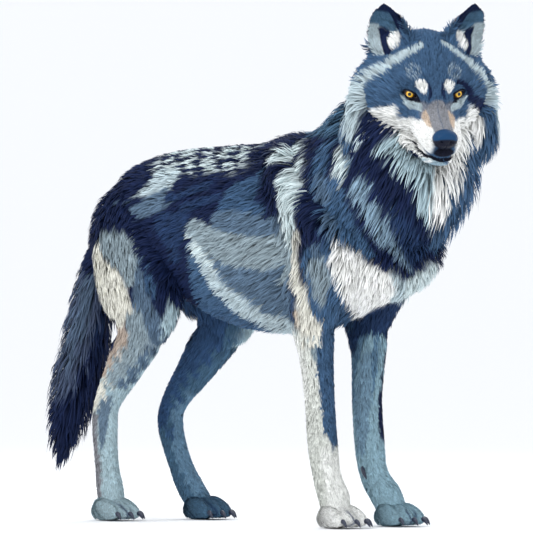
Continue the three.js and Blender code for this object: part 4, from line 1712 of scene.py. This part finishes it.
def ear_colours(colour: Array, head: Array, lie: Lie) -> Array:
    """Navy outside with a deep blue root, and the marks inside."""
    coat = plain(Dye.NAVY, len(head))
    for ear in EARS:
        across, inside = ear.local(head, lie.normal)
        mine = lie.on(ear.limb().name)
        flat = np.stack([100 * across, head[:, 2]], 1)
        cup = lay(plain(Dye.BLUE, len(head)), EAR_MARKS, flat)
        coat = mixed(coat, cup, inside * mine)
        coat = blend(coat, Dye.DEEP, (1 - inside) * mine * fade(head[:, 2], 70, 96))
    return np.where(lie.on("ear")[:, None], coat, colour)


# ---- unwrap


def unwrap(points: Array, triangles: Array, part: Array) -> Array:
    """Flat charts of the skin's own shape, side by side in the unit square.

    Each triangle is laid flat along the axis its normals face most, in the chart of its part
    and that direction. The charts keep one scale and stand in rows, the tallest first.

    Args:
        points: the skin's points.
        triangles: its corner numbers.
        part: the part's number for each point.

    Returns:
        Triangles by 3 corners by 2 places.
    """
    normals = normals_of(points, triangles)
    facing = normals[triangles].sum(1)
    axis = np.abs(facing).argmax(1)
    ahead = np.take_along_axis(facing, axis[:, None], 1)[:, 0] > 0
    chart = part[triangles[:, 0]] * 6 + axis * 2 + ahead
    across, upward = np.array([1, 0, 0])[axis], np.array([2, 2, 1])[axis]
    corners = points[triangles]
    places = np.stack([
        np.take_along_axis(corners, across[:, None, None].repeat(3, 1), 2)[..., 0],
        np.take_along_axis(corners, upward[:, None, None].repeat(3, 1), 2)[..., 0],
    ], -1)
    used, chart = np.unique(chart, return_inverse=True)
    low = np.full((len(used), 2), np.inf)
    high = -low
    np.minimum.at(low, chart, places.min(1))
    np.maximum.at(high, chart, places.max(1))
    size = high - low
    gap = 0.008
    for width in np.arange(1.2, 6.0, 0.1):
        x = y = row = 0.0
        corner = np.zeros_like(low)
        for k in np.argsort(-size[:, 1]):
            if x + size[k, 0] > width:
                x, y, row = 0.0, y + row + gap, 0.0
            corner[k] = x, y
            x += size[k, 0] + gap
            row = max(row, size[k, 1])
        if y + row <= width:
            break
    return (places - low[chart][:, None] + corner[chart][:, None] + gap / 2) / (width + gap)


def stain(piece: Piece, tints: Array) -> None:
    """Gives a mesh its Tint colours, one for each point."""
    colours = np.ones((len(tints), 4), np.float32)
    colours[:, :3] = np.clip(tints, 0, 1)
    attribute = piece.data.color_attributes.new("Tint", "FLOAT_COLOR", "POINT")
    attribute.data.foreach_set("color", colours.ravel())


def dress(piece: Piece, places: Array, tints: Array) -> None:
    """Gives a mesh its OFBake map, from corner places, and its Tint colours, from point colours."""
    layer = piece.data.uv_layers.new(name="OFBake")
    layer.data.foreach_set("uv", np.ascontiguousarray(places, np.float32).ravel())
    stain(piece, tints)


# ---- the coat


# a tuft's triangles, and its points' places on its patch of the map
BLADE_FACES = np.array([[0, 1, 3], [0, 3, 2], [2, 3, 5], [2, 5, 4], [4, 5, 6]])
BLADE_PATCH = np.array([[-1, -1], [1, -1], [-1, -0.2], [1, -0.2], [-1, 0.5], [1, 0.5], [0, 1]])


@dataclass
class Coat:
    """Thin pointed tufts over the whole skin.

    A tuft is a blade of three pairs of points and a tip. It leaves the skin steeply, bends over
    at the coat's depth and lies along the fur. Neighbours lean together into locks. At each of
    a tuft's four levels, steps and rises are shares of its run along the skin and of its height.
    """

    skin: Skin
    tufts: int = 284000
    most: int = 39600
    beyond: float = 0.010
    steps: tuple[float, ...] = (0.0, 0.36, 0.72, 1.0)
    rises: tuple[float, ...] = (-0.12, 0.60, 0.92, 1.0)
    leans: tuple[float, ...] = (0.12, 0.55, 1.0)
    widths: tuple[float, ...] = (0.80, 1.0, 0.66)
    # painted shade and light along each tuft: darker at the root, where the coat's inside lies in shade,
    # lighter at the tip
    shades: tuple[float, ...] = (0.58, 0.88, 1.03, 1.10)
    patch: float = 0.0014

    def width(self, hair: Array) -> Array:
        """A tuft's width for its length, both in metres: wider with length up to 4 mm."""
        return np.minimum(0.0008 + 0.058 * hair, 0.0040)

    def bare(self, points: Array, normals: Array) -> Array:
        """0 where no tufts grow: the eyes' openings, the nose's seat and the soles."""
        head = to_head(points)
        keep = np.ones(len(points))
        for eye in EYES:
            local = eye.local(head)
            keep *= (eye.reach(local) > 1.32) | (local[:, 2] < -12)
        nose = np.linalg.norm((head - [0, -142, -43]) / [24, 20, 20], axis=1)
        soles = (points[:, 2] < 0.006) & (normals[:, 2] < -0.3)
        return keep * (nose > 1.0) * (MOUTH.near(head) < 0.72) * ~soles

    def roots(self, normals: Array, lie: Lie) -> tuple[Array, Array, np.random.Generator]:
        """Seeded root places, spread by the wanted density.

        A triangle's share of the tufts is its area times layers / (hair * width / 2).

        Args:
            normals: the skin's normals.
            lie: the coat's fields at its points.

        Returns:
            Triangle numbers, the corners' shares in each root, and the random draws for the rest.
        """
        points, triangles = self.skin.points, self.skin.triangles
        rng = np.random.default_rng(SEED)
        a, b, c = (points[triangles[:, k]] for k in range(3))
        area = np.linalg.norm(np.cross(b - a, c - a), axis=1) / 2
        hair = lie.hair[triangles].mean(1)
        layers = np.minimum(2.8 + 95 * hair, 8.0)
        keep = self.bare(points, normals)[triangles].min(1)
        density = keep * layers / (hair * self.width(hair) / 2)
        total = np.cumsum(area * density)
        log.info("tufts wanted %d, made %d", total[-1], self.tufts)
        draw = (np.arange(self.tufts) + rng.random(self.tufts)) / self.tufts * total[-1]
        chosen = np.minimum(np.searchsorted(total, draw), len(triangles) - 1)
        r = np.sqrt(rng.random(self.tufts))
        s = rng.random(self.tufts)
        return chosen, np.stack([1 - r, r * (1 - s), r * s], 1), rng

    def locks(self, roots: Array, hair: Array) -> Array:
        """Gathers tufts into locks, by the cell they root in, in a lattice bent by noise.

        Args:
            roots: N by 3 roots.
            hair: each tuft's length, which sets the size of its cell.

        Returns:
            The number of each tuft's lock.
        """
        bent = roots + 0.004 * np.stack([noise(roots, 0.02, SEED + 60 + k) for k in range(3)], 1)
        size = np.select([hair < 0.011, hair < 0.024, hair < 0.05], [0.0030, 0.0055, 0.0085], 0.0120)
        cell = np.floor(bent / size[:, None]).astype(np.int64)
        cell = cell - cell.min(0)
        key = (cell[:, 0] * 4096 + cell[:, 1]) * 4096 + cell[:, 2]
        return np.unique(key * 64 + (size * 2000).astype(np.int64), return_inverse=True)[1]

    def blades(self, root: Array, at: Lie, lock: Array,
               rng: np.random.Generator) -> tuple[Array, Array]:
        """The tufts' points, and the places that they take their colours from.

        Args:
            root: the roots.
            at: the coat's fields there.
            lock: the number of each tuft's lock.
            rng: the random draws.

        Returns:
            N by 7 by 3 points, three pairs and the tip, and N by 3 places near the tips.
        """
        outward, hair, count = at.normal, at.hair, lock.max() + 1
        sway = rng.normal(0, 0.14, count)[lock] + rng.normal(0, 0.10, len(root))
        flow = unit(at.lie - outward * (at.lie * outward).sum(1, keepdims=True))
        sideways = np.cross(outward, flow)
        flow = flow * np.cos(sway)[:, None] + sideways * np.sin(sway)[:, None]
        sideways = np.cross(outward, flow)
        roll = rng.normal(0, 0.35, len(root))[:, None]
        sideways = sideways * np.cos(roll) + outward * np.sin(roll)
        length = hair * (0.72 - 0.22 * smooth(hair, 0.03, 0.06)
                         + 0.46 * rng.random(len(root)) ** 0.8)
        length = length * rng.uniform(0.9, 1.12, count)[lock]
        height = np.minimum(at.coat * rng.uniform(0.62, 1.04, len(root)), 0.8 * length)
        run = np.sqrt(np.maximum(length**2 - height**2, (0.4 * length) ** 2))
        fall = 0.10 * smooth(hair, 0.03, 0.08) * length
        line = []
        for step, rise in zip(self.steps, self.rises):
            place = root + outward * (height * rise)[:, None] + flow * (run * step)[:, None]
            line.append(place - np.array([0, 0, 1.0]) * (fall * step**2)[:, None])
        members = np.bincount(lock, minlength=count)[:, None]
        tip = np.stack([np.bincount(lock, line[3][:, k], count) for k in range(3)], 1) / members
        lean = 0.42 * smooth(hair, 0.006, 0.03)[:, None]
        for number, share in enumerate(self.leans, 1):
            line[number] = line[number] + (tip[lock] - line[3]) * lean * share
        wide = self.width(hair) * rng.uniform(0.75, 1.25, len(root)) / 2
        rows = []
        for row, share in zip(line, self.widths):
            half = sideways * (wide * share)[:, None]
            rows += [row - half, row + half]
        low, high = np.array(CAD_BOX[0]) - self.beyond, np.array(CAD_BOX[1]) + self.beyond
        blade = np.clip(np.stack([*rows, line[3]], 1), [*low[:2], TUFT_FLOOR], high)
        return blade, 0.4 * line[2] + 0.6 * line[3]

    def build(self, lie: Lie, part: Array, places: Array) -> list[Piece]:
        """Makes the coat's pieces, one for each part that has tufts.

        Args:
            lie: the coat's fields at the skin's points.
            part: the part's number for each of them.
            places: the unwrap's places for each corner of the skin's triangles.

        Returns:
            The pieces, dressed but without a material.
        """
        points, triangles = self.skin.points, self.skin.triangles
        normals = normals_of(points, triangles)
        chosen, shares, rng = self.roots(normals, lie)
        corner = triangles[chosen]
        mix = lambda values: (values[corner] * shares[..., None]).sum(1)
        root, outward = mix(points), unit(mix(normals))
        flow, coat, hair = mix(lie.lie), mix(lie.coat[:, None]), mix(lie.hair[:, None])
        nearest = np.take_along_axis(corner, shares.argmax(1)[:, None], 1)[:, 0]
        at = Lie(flow, coat[:, 0], hair[:, 0], lie.limb[nearest], lie.offset[nearest], outward,
                 lie.names)
        lock = self.locks(root, at.hair)
        blade, tinted = self.blades(root, at, lock, rng)
        tint = markings(tinted, at)
        tone = 1 + 0.10 * rng.normal(0, 1, lock.max() + 1)[lock]
        tone = tone + 0.09 * rng.normal(0, 1, len(root))
        tint = tint * np.clip(tone, 0.6, 1.5)[:, None]
        # each tuft's colour times its painted shade, darkest at the root
        tints = tint[:, None] * np.repeat(self.shades, [2, 2, 2, 1])[:, None]
        spots = (places[chosen] * shares[..., None]).sum(1)[:, None] + self.patch * BLADE_PATCH
        pieces = []
        for region in Part:
            mine = np.flatnonzero(part[nearest] == region.value)
            if len(mine) > self.most:
                log.info("coat_%s thinned from %d tufts", region.word, len(mine))
                mine = np.sort(rng.permutation(mine)[: self.most])
            if not len(mine):
                continue
            corners = BLADE_FACES + 7 * np.arange(len(mine))[:, None, None]
            form = blade[mine].reshape(-1, 3), corners.reshape(-1, 3)
            piece = new_piece(f"coat_{region.word}", *form)
            uv = spots[mine][:, BLADE_FACES].reshape(-1, 2)
            dress(piece, uv, tints[mine].reshape(-1, 3))
            pieces.append(piece)
            log.info("%s: %d tufts", piece.name, len(mine))
        return pieces


# ---- finishes


class Wire:
    """One output of a shader node, with arithmetic that adds Math nodes."""

    def __init__(self, sheet: "Sheet", socket: bpy.types.NodeSocket) -> None:
        """The socket, and the sheet that its Math nodes are added to."""
        self.sheet, self.socket = sheet, socket

    def math(self, operation: str, first: object, second: object) -> "Wire":
        """A Math node of two values."""
        return self.sheet.node("ShaderNodeMath", {"operation": operation}, {0: first, 1: second})

    def __add__(self, other: object) -> "Wire":
        """This plus the other."""
        return self.math("ADD", self, other)

    def __radd__(self, other: object) -> "Wire":
        """The other plus this."""
        return self.math("ADD", other, self)

    def __sub__(self, other: object) -> "Wire":
        """This less the other."""
        return self.math("SUBTRACT", self, other)

    def __rsub__(self, other: object) -> "Wire":
        """The other less this."""
        return self.math("SUBTRACT", other, self)

    def __mul__(self, other: object) -> "Wire":
        """This times the other."""
        return self.math("MULTIPLY", self, other)

    def __rmul__(self, other: object) -> "Wire":
        """The other times this."""
        return self.math("MULTIPLY", other, self)


class Sheet:
    """A material's node tree, with the Principled shader that it feeds."""

    def __init__(self, name: str) -> None:
        """A new material of that name."""
        self.material = bpy.data.materials.new(name)
        self.material.use_nodes = True
        self.tree = self.material.node_tree
        self.shader = next(n for n in self.tree.nodes if n.type == "BSDF_PRINCIPLED")

    def node(self, kind: str, settings: dict[str, object], inputs: dict[object, object],
             output: object = 0) -> Wire:
        """Adds a node.

        Args:
            kind: the node's type.
            settings: its settings by name, which are set first.
            inputs: values or wires by socket.
            output: the output that is handed back.
        """
        made = self.tree.nodes.new(kind)
        for key, value in settings.items():
            setattr(made, key, value)
        self.fill(made, inputs)
        return Wire(self, made.outputs[output])

    def fill(self, node: bpy.types.Node, inputs: dict[object, object]) -> None:
        """Sets a node's sockets to values, or links them to wires."""
        for key, value in inputs.items():
            if isinstance(value, Wire):
                self.tree.links.new(value.socket, node.inputs[key])
            else:
                node.inputs[key].default_value = value

    def feed(self, inputs: dict[str, object]) -> None:
        """Sets or links the Principled shader's sockets."""
        self.fill(self.shader, inputs)

    def mottle(self, size: float, detail: float = 3.0) -> Wire:
        """Cloudy noise from 0 to 1 in the object's own metres."""
        place = self.node("ShaderNodeTexCoord", {}, {}, "Object")
        inputs = {"Vector": place, "Scale": 1 / size, "Detail": detail}
        return self.node("ShaderNodeTexNoise", {}, inputs, "Fac")

    def uneven(self, level: float, vary: float, size: float) -> Wire | float:
        """A level that runs up and down by half of vary with cloudy noise."""
        return level + vary * (self.mottle(size) - 0.5) if vary else level

    def bump(self, height: Wire, depth: float) -> Wire:
        """A bump of the given depth in metres."""
        inputs = {"Height": height, "Distance": depth, "Strength": 1.0}
        return self.node("ShaderNodeBump", {}, inputs, "Normal")

    def mix(self, share: Wire | float, first: object, second: object, how: str = "MIX") -> Wire:
        """A Mix node of two colours."""
        settings = {"data_type": "RGBA", "blend_type": how}
        return self.node("ShaderNodeMix", settings, {0: share, 6: first, 7: second}, 2)


@dataclass(frozen=True)
class Tinted:
    """A finish whose colour is the piece's own Tint, times a plain shade."""

    name: str
    shade: float = 1.0
    roughness: float = 0.6
    specular: float = 0.3
    gloss: float = 0.0
    grain: float = 0.0
    grain_depth: float = 0.0
    cloud: float = 0.02
    vary: float = 0.0

    def build(self) -> bpy.types.Material:
        """The material."""
        sheet = Sheet(self.name)
        tint = sheet.node("ShaderNodeAttribute", {"attribute_name": "Tint"}, {}, "Color")
        if self.shade != 1.0:
            tint = sheet.mix(1.0, tint, (*[self.shade] * 3, 1), "MULTIPLY")
        sheet.feed({
            "Base Color": tint,
            "Roughness": sheet.uneven(self.roughness, self.vary, self.cloud),
            "Specular IOR Level": self.specular,
            "Coat Weight": self.gloss,
            "Coat Roughness": 0.04,
        })
        if self.grain:
            sheet.feed({"Normal": sheet.bump(sheet.mottle(self.grain), self.grain_depth)})
        return sheet.material


@dataclass(frozen=True)
class Plain:
    """A finish of one colour, a little cloudy, with a fine bump."""

    name: str
    dark: str
    light: str
    roughness: float = 0.4
    gloss: float = 0.0
    cloud: float = 0.01
    grain: float = 0.0015
    grain_depth: float = 0.0002
    vary: float = 0.14

    def build(self) -> bpy.types.Material:
        """The material."""
        sheet = Sheet(self.name)
        colours = [(*linear(code), 1) for code in (self.dark, self.light)]
        sheet.feed({
            "Base Color": sheet.mix(sheet.mottle(self.cloud), *colours),
            "Roughness": sheet.uneven(self.roughness, self.vary, self.cloud),
            "Coat Weight": self.gloss,
            "Coat Roughness": 0.12,
            "Normal": sheet.bump(sheet.mottle(self.grain), self.grain_depth),
        })
        return sheet.material


# the skin's colours times 0.72: painted shade under the coat
SKIN_FINISH = Tinted("short_fur", shade=0.72, roughness=0.8, specular=0.15, grain=0.0012,
                     grain_depth=0.0006, vary=0.16)
COAT_FINISH = Tinted("fur", roughness=0.65, specular=0.12, vary=0.20)
EYE_FINISH = Tinted("eye", roughness=0.2, specular=0.3, gloss=0.45)
NOSE_FINISH = Tinted("nose_pad", roughness=0.45, specular=0.10, gloss=0.06, grain=0.0012,
                     grain_depth=0.0004, cloud=0.006, vary=0.16)
LID_FINISH = Plain("lid_rims", "0a0d18", "12182a", roughness=0.35, gloss=0.3, grain=0.001,
                   grain_depth=0.0001)
CLAW_FINISH = Plain("claw_horn", "0f1526", "27324c", roughness=0.38, gloss=0.15, cloud=0.006)


# ---- eyes, nose and claws


@dataclass(frozen=True)
class Eyeball:
    """One eyeball with its amber iris, and the dark rims of its lids."""

    eye: EyeFrame
    iris: float = 8.0
    pupil: float = 3.5
    # the iris's inside, outside and rim, the pupil and the white
    tints: tuple[str, ...] = ("f0c43c", "b9771f", "2a1710", "05060a", "4a4038")
    around: int = 128
    rings: int = 72

    def ball(self) -> Piece:
        """The ball: rings at angles from the gaze, closer in front, with the cornea's swell.

        The radius is the eye's, times 1 + 0.07 * (1 - smooth step of the angle from 20 to 46
        degrees).
        """
        turn = np.linspace(0, 1, self.rings) ** 1.35 * math.pi
        turn[0], turn[-1] = 1e-3, math.pi - 1e-3
        angle = np.linspace(0, 2 * math.pi, self.around, endpoint=False)
        radius = EYE_RADIUS * (1 + 0.07 * fade(turn, math.radians(20), math.radians(46)))
        away = (radius * np.sin(turn))[:, None]
        gaze = np.broadcast_to((radius * np.cos(turn))[:, None], away.shape[:1] + angle.shape)
        local = np.stack([away * np.cos(angle), away * np.sin(angle), gaze], -1).reshape(-1, 3)
        local = np.vstack([local, local[: self.around].mean(0), local[-self.around:].mean(0)])
        quads, caps = lattice(self.rings, self.around)
        quads, caps = quads[:, [0, 3, 2, 1]], caps[:, [1, 0, 2]]
        if self.eye.side is Side.RIGHT:
            quads, caps = quads[:, ::-1], caps[:, ::-1]
        points = to_row(self.eye.out(local), HEAD)
        piece = new_piece(f"eye_ball_{self.eye.side.word}", points, quads, caps)
        stain(piece, self.colours(local))
        return piece

    def colours(self, local: Array) -> Array:
        """Pupil, iris with fine spokes and a dark rim, and the dim white round it, darker towards the top
        with painted shade from the upper lid.
        """
        u, v, w = local.T
        away = np.where(w > 0, np.hypot(u, v) / self.iris, 9.0)
        angle = np.arctan2(v, u)
        places = np.stack([9 * np.cos(angle), 9 * np.sin(angle), 0.8 * away], 1)
        spokes = noise(places, 0.55, SEED + 80)
        inner, outer, rim, pupil, white = (linear(code) for code in self.tints)
        colour = mixed(inner, outer, smooth(away + 0.16 * spokes, 0.45, 1.0))
        colour = colour * (1 + 0.22 * spokes)[:, None]
        hole = self.pupil / self.iris
        colour = mixed(colour, rim, smooth(away, 0.84, 1.0))
        colour = mixed(colour, pupil, fade(away, hole - 0.05, hole + 0.05))
        colour = mixed(colour, white, smooth(away, 1.0, 1.08))
        # painted shade: the upper lid's shadow darkens the eye towards the top
        return colour * (1 - 0.55 * smooth(v, 1.5, 7.0))[:, None]

    def rims(self) -> Piece:
        """The lids' dark rims: a closed tube along the opening's edge, thickest above."""
        path = self.eye.edge(96, 0.7)
        angle = np.linspace(0, 2 * math.pi, 96, endpoint=False)
        radii = 1.15 + 0.45 * np.maximum(np.sin(angle), 0)
        points, quads = loop_tube(path, radii)
        return new_piece(f"lid_rims_{self.eye.side.word}", to_row(points, HEAD), quads)


@dataclass(frozen=True)
class Nose:
    """The nose pad with its nostrils and the groove below."""

    around: int = 120
    rings: int = 90

    def limb(self) -> Limb:
        """The pad's spine and sizes."""
        return Limb("nose", stations(
            (0, -118, -38, 15, 11, 13, 0, 0),
            (0, -134, -41, 24, 17, 20, 0, 0),
            (0, -147, -43, 23, 17, 20, 0, 0),
            (0, -157, -46, 14, 10, 12, 0, 0),
        ), in_head=True)

    def build(self) -> Piece:
        """The pad, dented along its normals by a comma on each side and a middle groove."""
        points, quads, caps = self.limb().surface(self.around, self.rings)
        triangles = np.vstack([quads[:, [0, 1, 2]], quads[:, [0, 2, 3]], caps])
        head = to_head(points)
        outward = normals_of(head, triangles)
        if (outward * (head - head.mean(0))).sum() < 0:
            outward, quads, caps = -outward, quads[:, ::-1], caps[:, ::-1]
        x, y, z = np.abs(head[:, 0]), head[:, 1], head[:, 2]
        hole = bell((x - 10) / 4.2, (z + 45 - 0.25 * (x - 9)) / 3.9) * (y < -142)
        slit = Stroke(Dye.INK, 1.6, ((12, -152, -48.5), (18, -148, -51.5), (23, -139, -53)))
        wing = slit.cover(np.stack([x, y, z], 1))
        groove = bell(x / 1.2) * smooth(-z, 44, 51) * (y < -138)
        swell = bell((x - 15) / 4.5, (z + 38) / 5.5) * (y < -140)
        head = head + outward * (-6.2 * hole - 2.2 * wing - 1.5 * groove + 1.3 * swell)[:, None]
        piece = new_piece("nose_pad", to_row(head, HEAD), quads, caps)
        # painted highlight: deep blue over the pad's top, but not in the nostrils
        painted_highlight = smooth(head[:, 2] + 0.012 * head[:, 0] ** 2, -39, -35) * smooth(-head[:, 1], 128, 134)
        stain(piece, blend(plain(Dye.INK, len(head)), Dye.ROYAL, painted_highlight * (1 - np.clip(hole, 0, 1))))
        return piece


# a toe's claw: ahead of the toe's reach, height, half width and half height
CLAW_STATIONS = ((17.8, 17, 4.2, 5.5), (26, 14, 3.4, 4.4), (34, 4, 1.2, 1.4))


@dataclass(frozen=True)
class Claws:
    """The claws of one paw."""

    name: str
    leg: LegPlan

    def limbs(self) -> dict[str, Limb]:
        """Each claw by its node's name."""
        found = {}
        for toe in TOES:
            rows = [(*toe_point(self.leg, toe, toe.reach + ahead, z), wide, high, high, 0, 0)
                    for ahead, z, wide, high in CLAW_STATIONS]
            found[f"claw_{self.name}_{toe.name}"] = Limb(toe.name, stations(*rows))
        if self.name.startswith("fore"):
            s, inner, wrist = self.leg.side.value, self.leg.x - 26, self.leg.low
            found[f"claw_{self.name}_dew"] = Limb("dew", stations(
                (s * inner, wrist - 4, 124, 4, 5, 5, 0, 0),
                (s * (inner - 6), wrist - 13, 111, 3.6, 4.4, 4.4, 0, 0),
                (s * (inner - 5), wrist - 20, 97, 1.2, 1.2, 1.2, 0, 0)))
        return found

    def build(self) -> tuple[Piece, list[str]]:
        """The claws as one mesh, and the nodes that they stand for."""
        limbs = self.limbs()
        form = joined([limb.surface(20, 24) for limb in limbs.values()])
        return new_piece(f"claws_{self.name}", *form), list(limbs)


# ---- studio


@dataclass(frozen=True)
class Lamp:
    """A soft square light, and how far it stands before the wolf, to its side and up."""

    name: str
    before: float
    aside: float
    high: float
    power: float
    size: float


LAMPS = (
    Lamp("key", 2.6, -1.4, 2.8, 48, 1.6),
    Lamp("fill", 2.8, 2.2, 1.4, 12, 2.2),
    Lamp("rim", -2.4, 0.8, 2.6, 36, 1.6),
)


@dataclass(frozen=True)
class Studio:
    """A pale floor, soft lights and the camera."""

    azimuth: float = -47.0
    elevation: float = 1.2
    distance: float = 30.0
    across: float = -0.012
    height: float = 0.535
    view: float = 1.107
    sensor: float = 36.0
    floor: float = 600.0
    middle: float = 0.55

    def axes(self) -> tuple[Vector, Vector, Vector]:
        """The camera's right, up and backward directions."""
        a, e = math.radians(self.azimuth), math.radians(self.elevation)
        right = Vector((math.cos(a), math.sin(a), 0))
        back = Vector((math.sin(a) * math.cos(e), -math.cos(a) * math.cos(e), math.sin(e)))
        return right, back.cross(right), back

    def place(self, data: bpy.types.ID, name: str, at: Vector, aim: Vector) -> Piece:
        """An object at a place, turned to face another place."""
        made = bpy.data.objects.new(name, data)
        made.location = at
        made.rotation_mode = "QUATERNION"
        made.rotation_quaternion = (aim - at).to_track_quat("-Z", "Y")
        bpy.context.scene.collection.objects.link(made)
        return made

    def light(self, lamp: Lamp, at: Vector) -> None:
        """A lamp at a place, facing the wolf's middle."""
        data = bpy.data.lights.new(lamp.name, "AREA")
        data.energy, data.size = lamp.power, lamp.size
        self.place(data, lamp.name, at, Vector((0, 0, self.middle)))

    def build(self) -> None:
        """Floor, world, lights and camera."""
        right, up, back = self.axes()
        level = Vector((back.x, back.y, 0)).normalized()
        corners = np.array([[-1, -1, 0], [1, -1, 0], [1, 1, 0], [-1, 1, 0]]) * self.floor
        floor = new_piece("floor", corners, np.arange(4)[None])
        sheet = Sheet("floor")
        sheet.feed({"Base Color": (0.92, 0.925, 0.935, 1), "Roughness": 0.9})
        floor.data.materials.append(sheet.material)
        world = bpy.data.worlds.new("studio")
        bpy.context.scene.world = world
        world.use_nodes = True
        ground = next(n for n in world.node_tree.nodes if n.type == "BACKGROUND")
        ground.inputs["Color"].default_value = (0.95, 0.97, 1.0, 1)
        ground.inputs["Strength"].default_value = 1.08
        for lamp in LAMPS:
            at = level * lamp.before + right * lamp.aside + Vector((0, 0, lamp.high))
            self.light(lamp, at)
        data = bpy.data.cameras.new("camera")
        data.sensor_width = self.sensor
        data.lens = self.sensor * self.distance / self.view
        data.clip_end = 5 * self.floor
        aim = right * self.across + up * self.height
        bpy.context.scene.camera = self.place(data, "camera", aim + back * self.distance, aim)
        bpy.context.scene.view_settings.view_transform = "Standard"


def report(piece: Piece) -> None:
    """Logs a piece and its number of faces."""
    log.info("%s: %d faces", piece.name, len(piece.data.polygons))


def main() -> None:
    """Builds the skin, coat, eyes, nose, claws and studio in order."""
    skin = Skin()
    skin.build()
    normals = normals_of(skin.points, skin.triangles)
    lie = lie_of(skin.points, normals)
    part = parts_of(skin.points, lie)
    places = unwrap(skin.points, skin.triangles, part)
    body = new_piece("skin", skin.points, skin.triangles)
    dress(body, places.reshape(-1, 2), markings(skin.points, lie))
    body.data.materials.append(SKIN_FINISH.build())
    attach(body, BODY)
    apart = ("eye", "nose", "claw")
    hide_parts(*[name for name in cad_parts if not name.startswith(apart)])
    report(body)
    fur = COAT_FINISH.build()
    for piece in Coat(skin).build(lie, part, places):
        piece.data.materials.append(fur)
        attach(piece, BODY)
    eye_finish, lid_finish = EYE_FINISH.build(), LID_FINISH.build()
    for eye in EYES:
        ball, rims = Eyeball(eye).ball(), Eyeball(eye).rims()
        ball.data.materials.append(eye_finish)
        rims.data.materials.append(lid_finish)
        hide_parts(f"eye_{eye.side.word}")
        for piece in (ball, rims):
            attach(piece, BODY)
            report(piece)
    nose = Nose().build()
    nose.data.materials.append(NOSE_FINISH.build())
    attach(nose, BODY)
    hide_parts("nose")
    report(nose)
    horn = CLAW_FINISH.build()
    for name, leg in LEGS.items():
        claws, nodes = Claws(name, leg).build()
        claws.data.materials.append(horn)
        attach(claws, BODY)
        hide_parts(*nodes)
        report(claws)
    Studio().build()


if __name__ == "__main__":
    main()
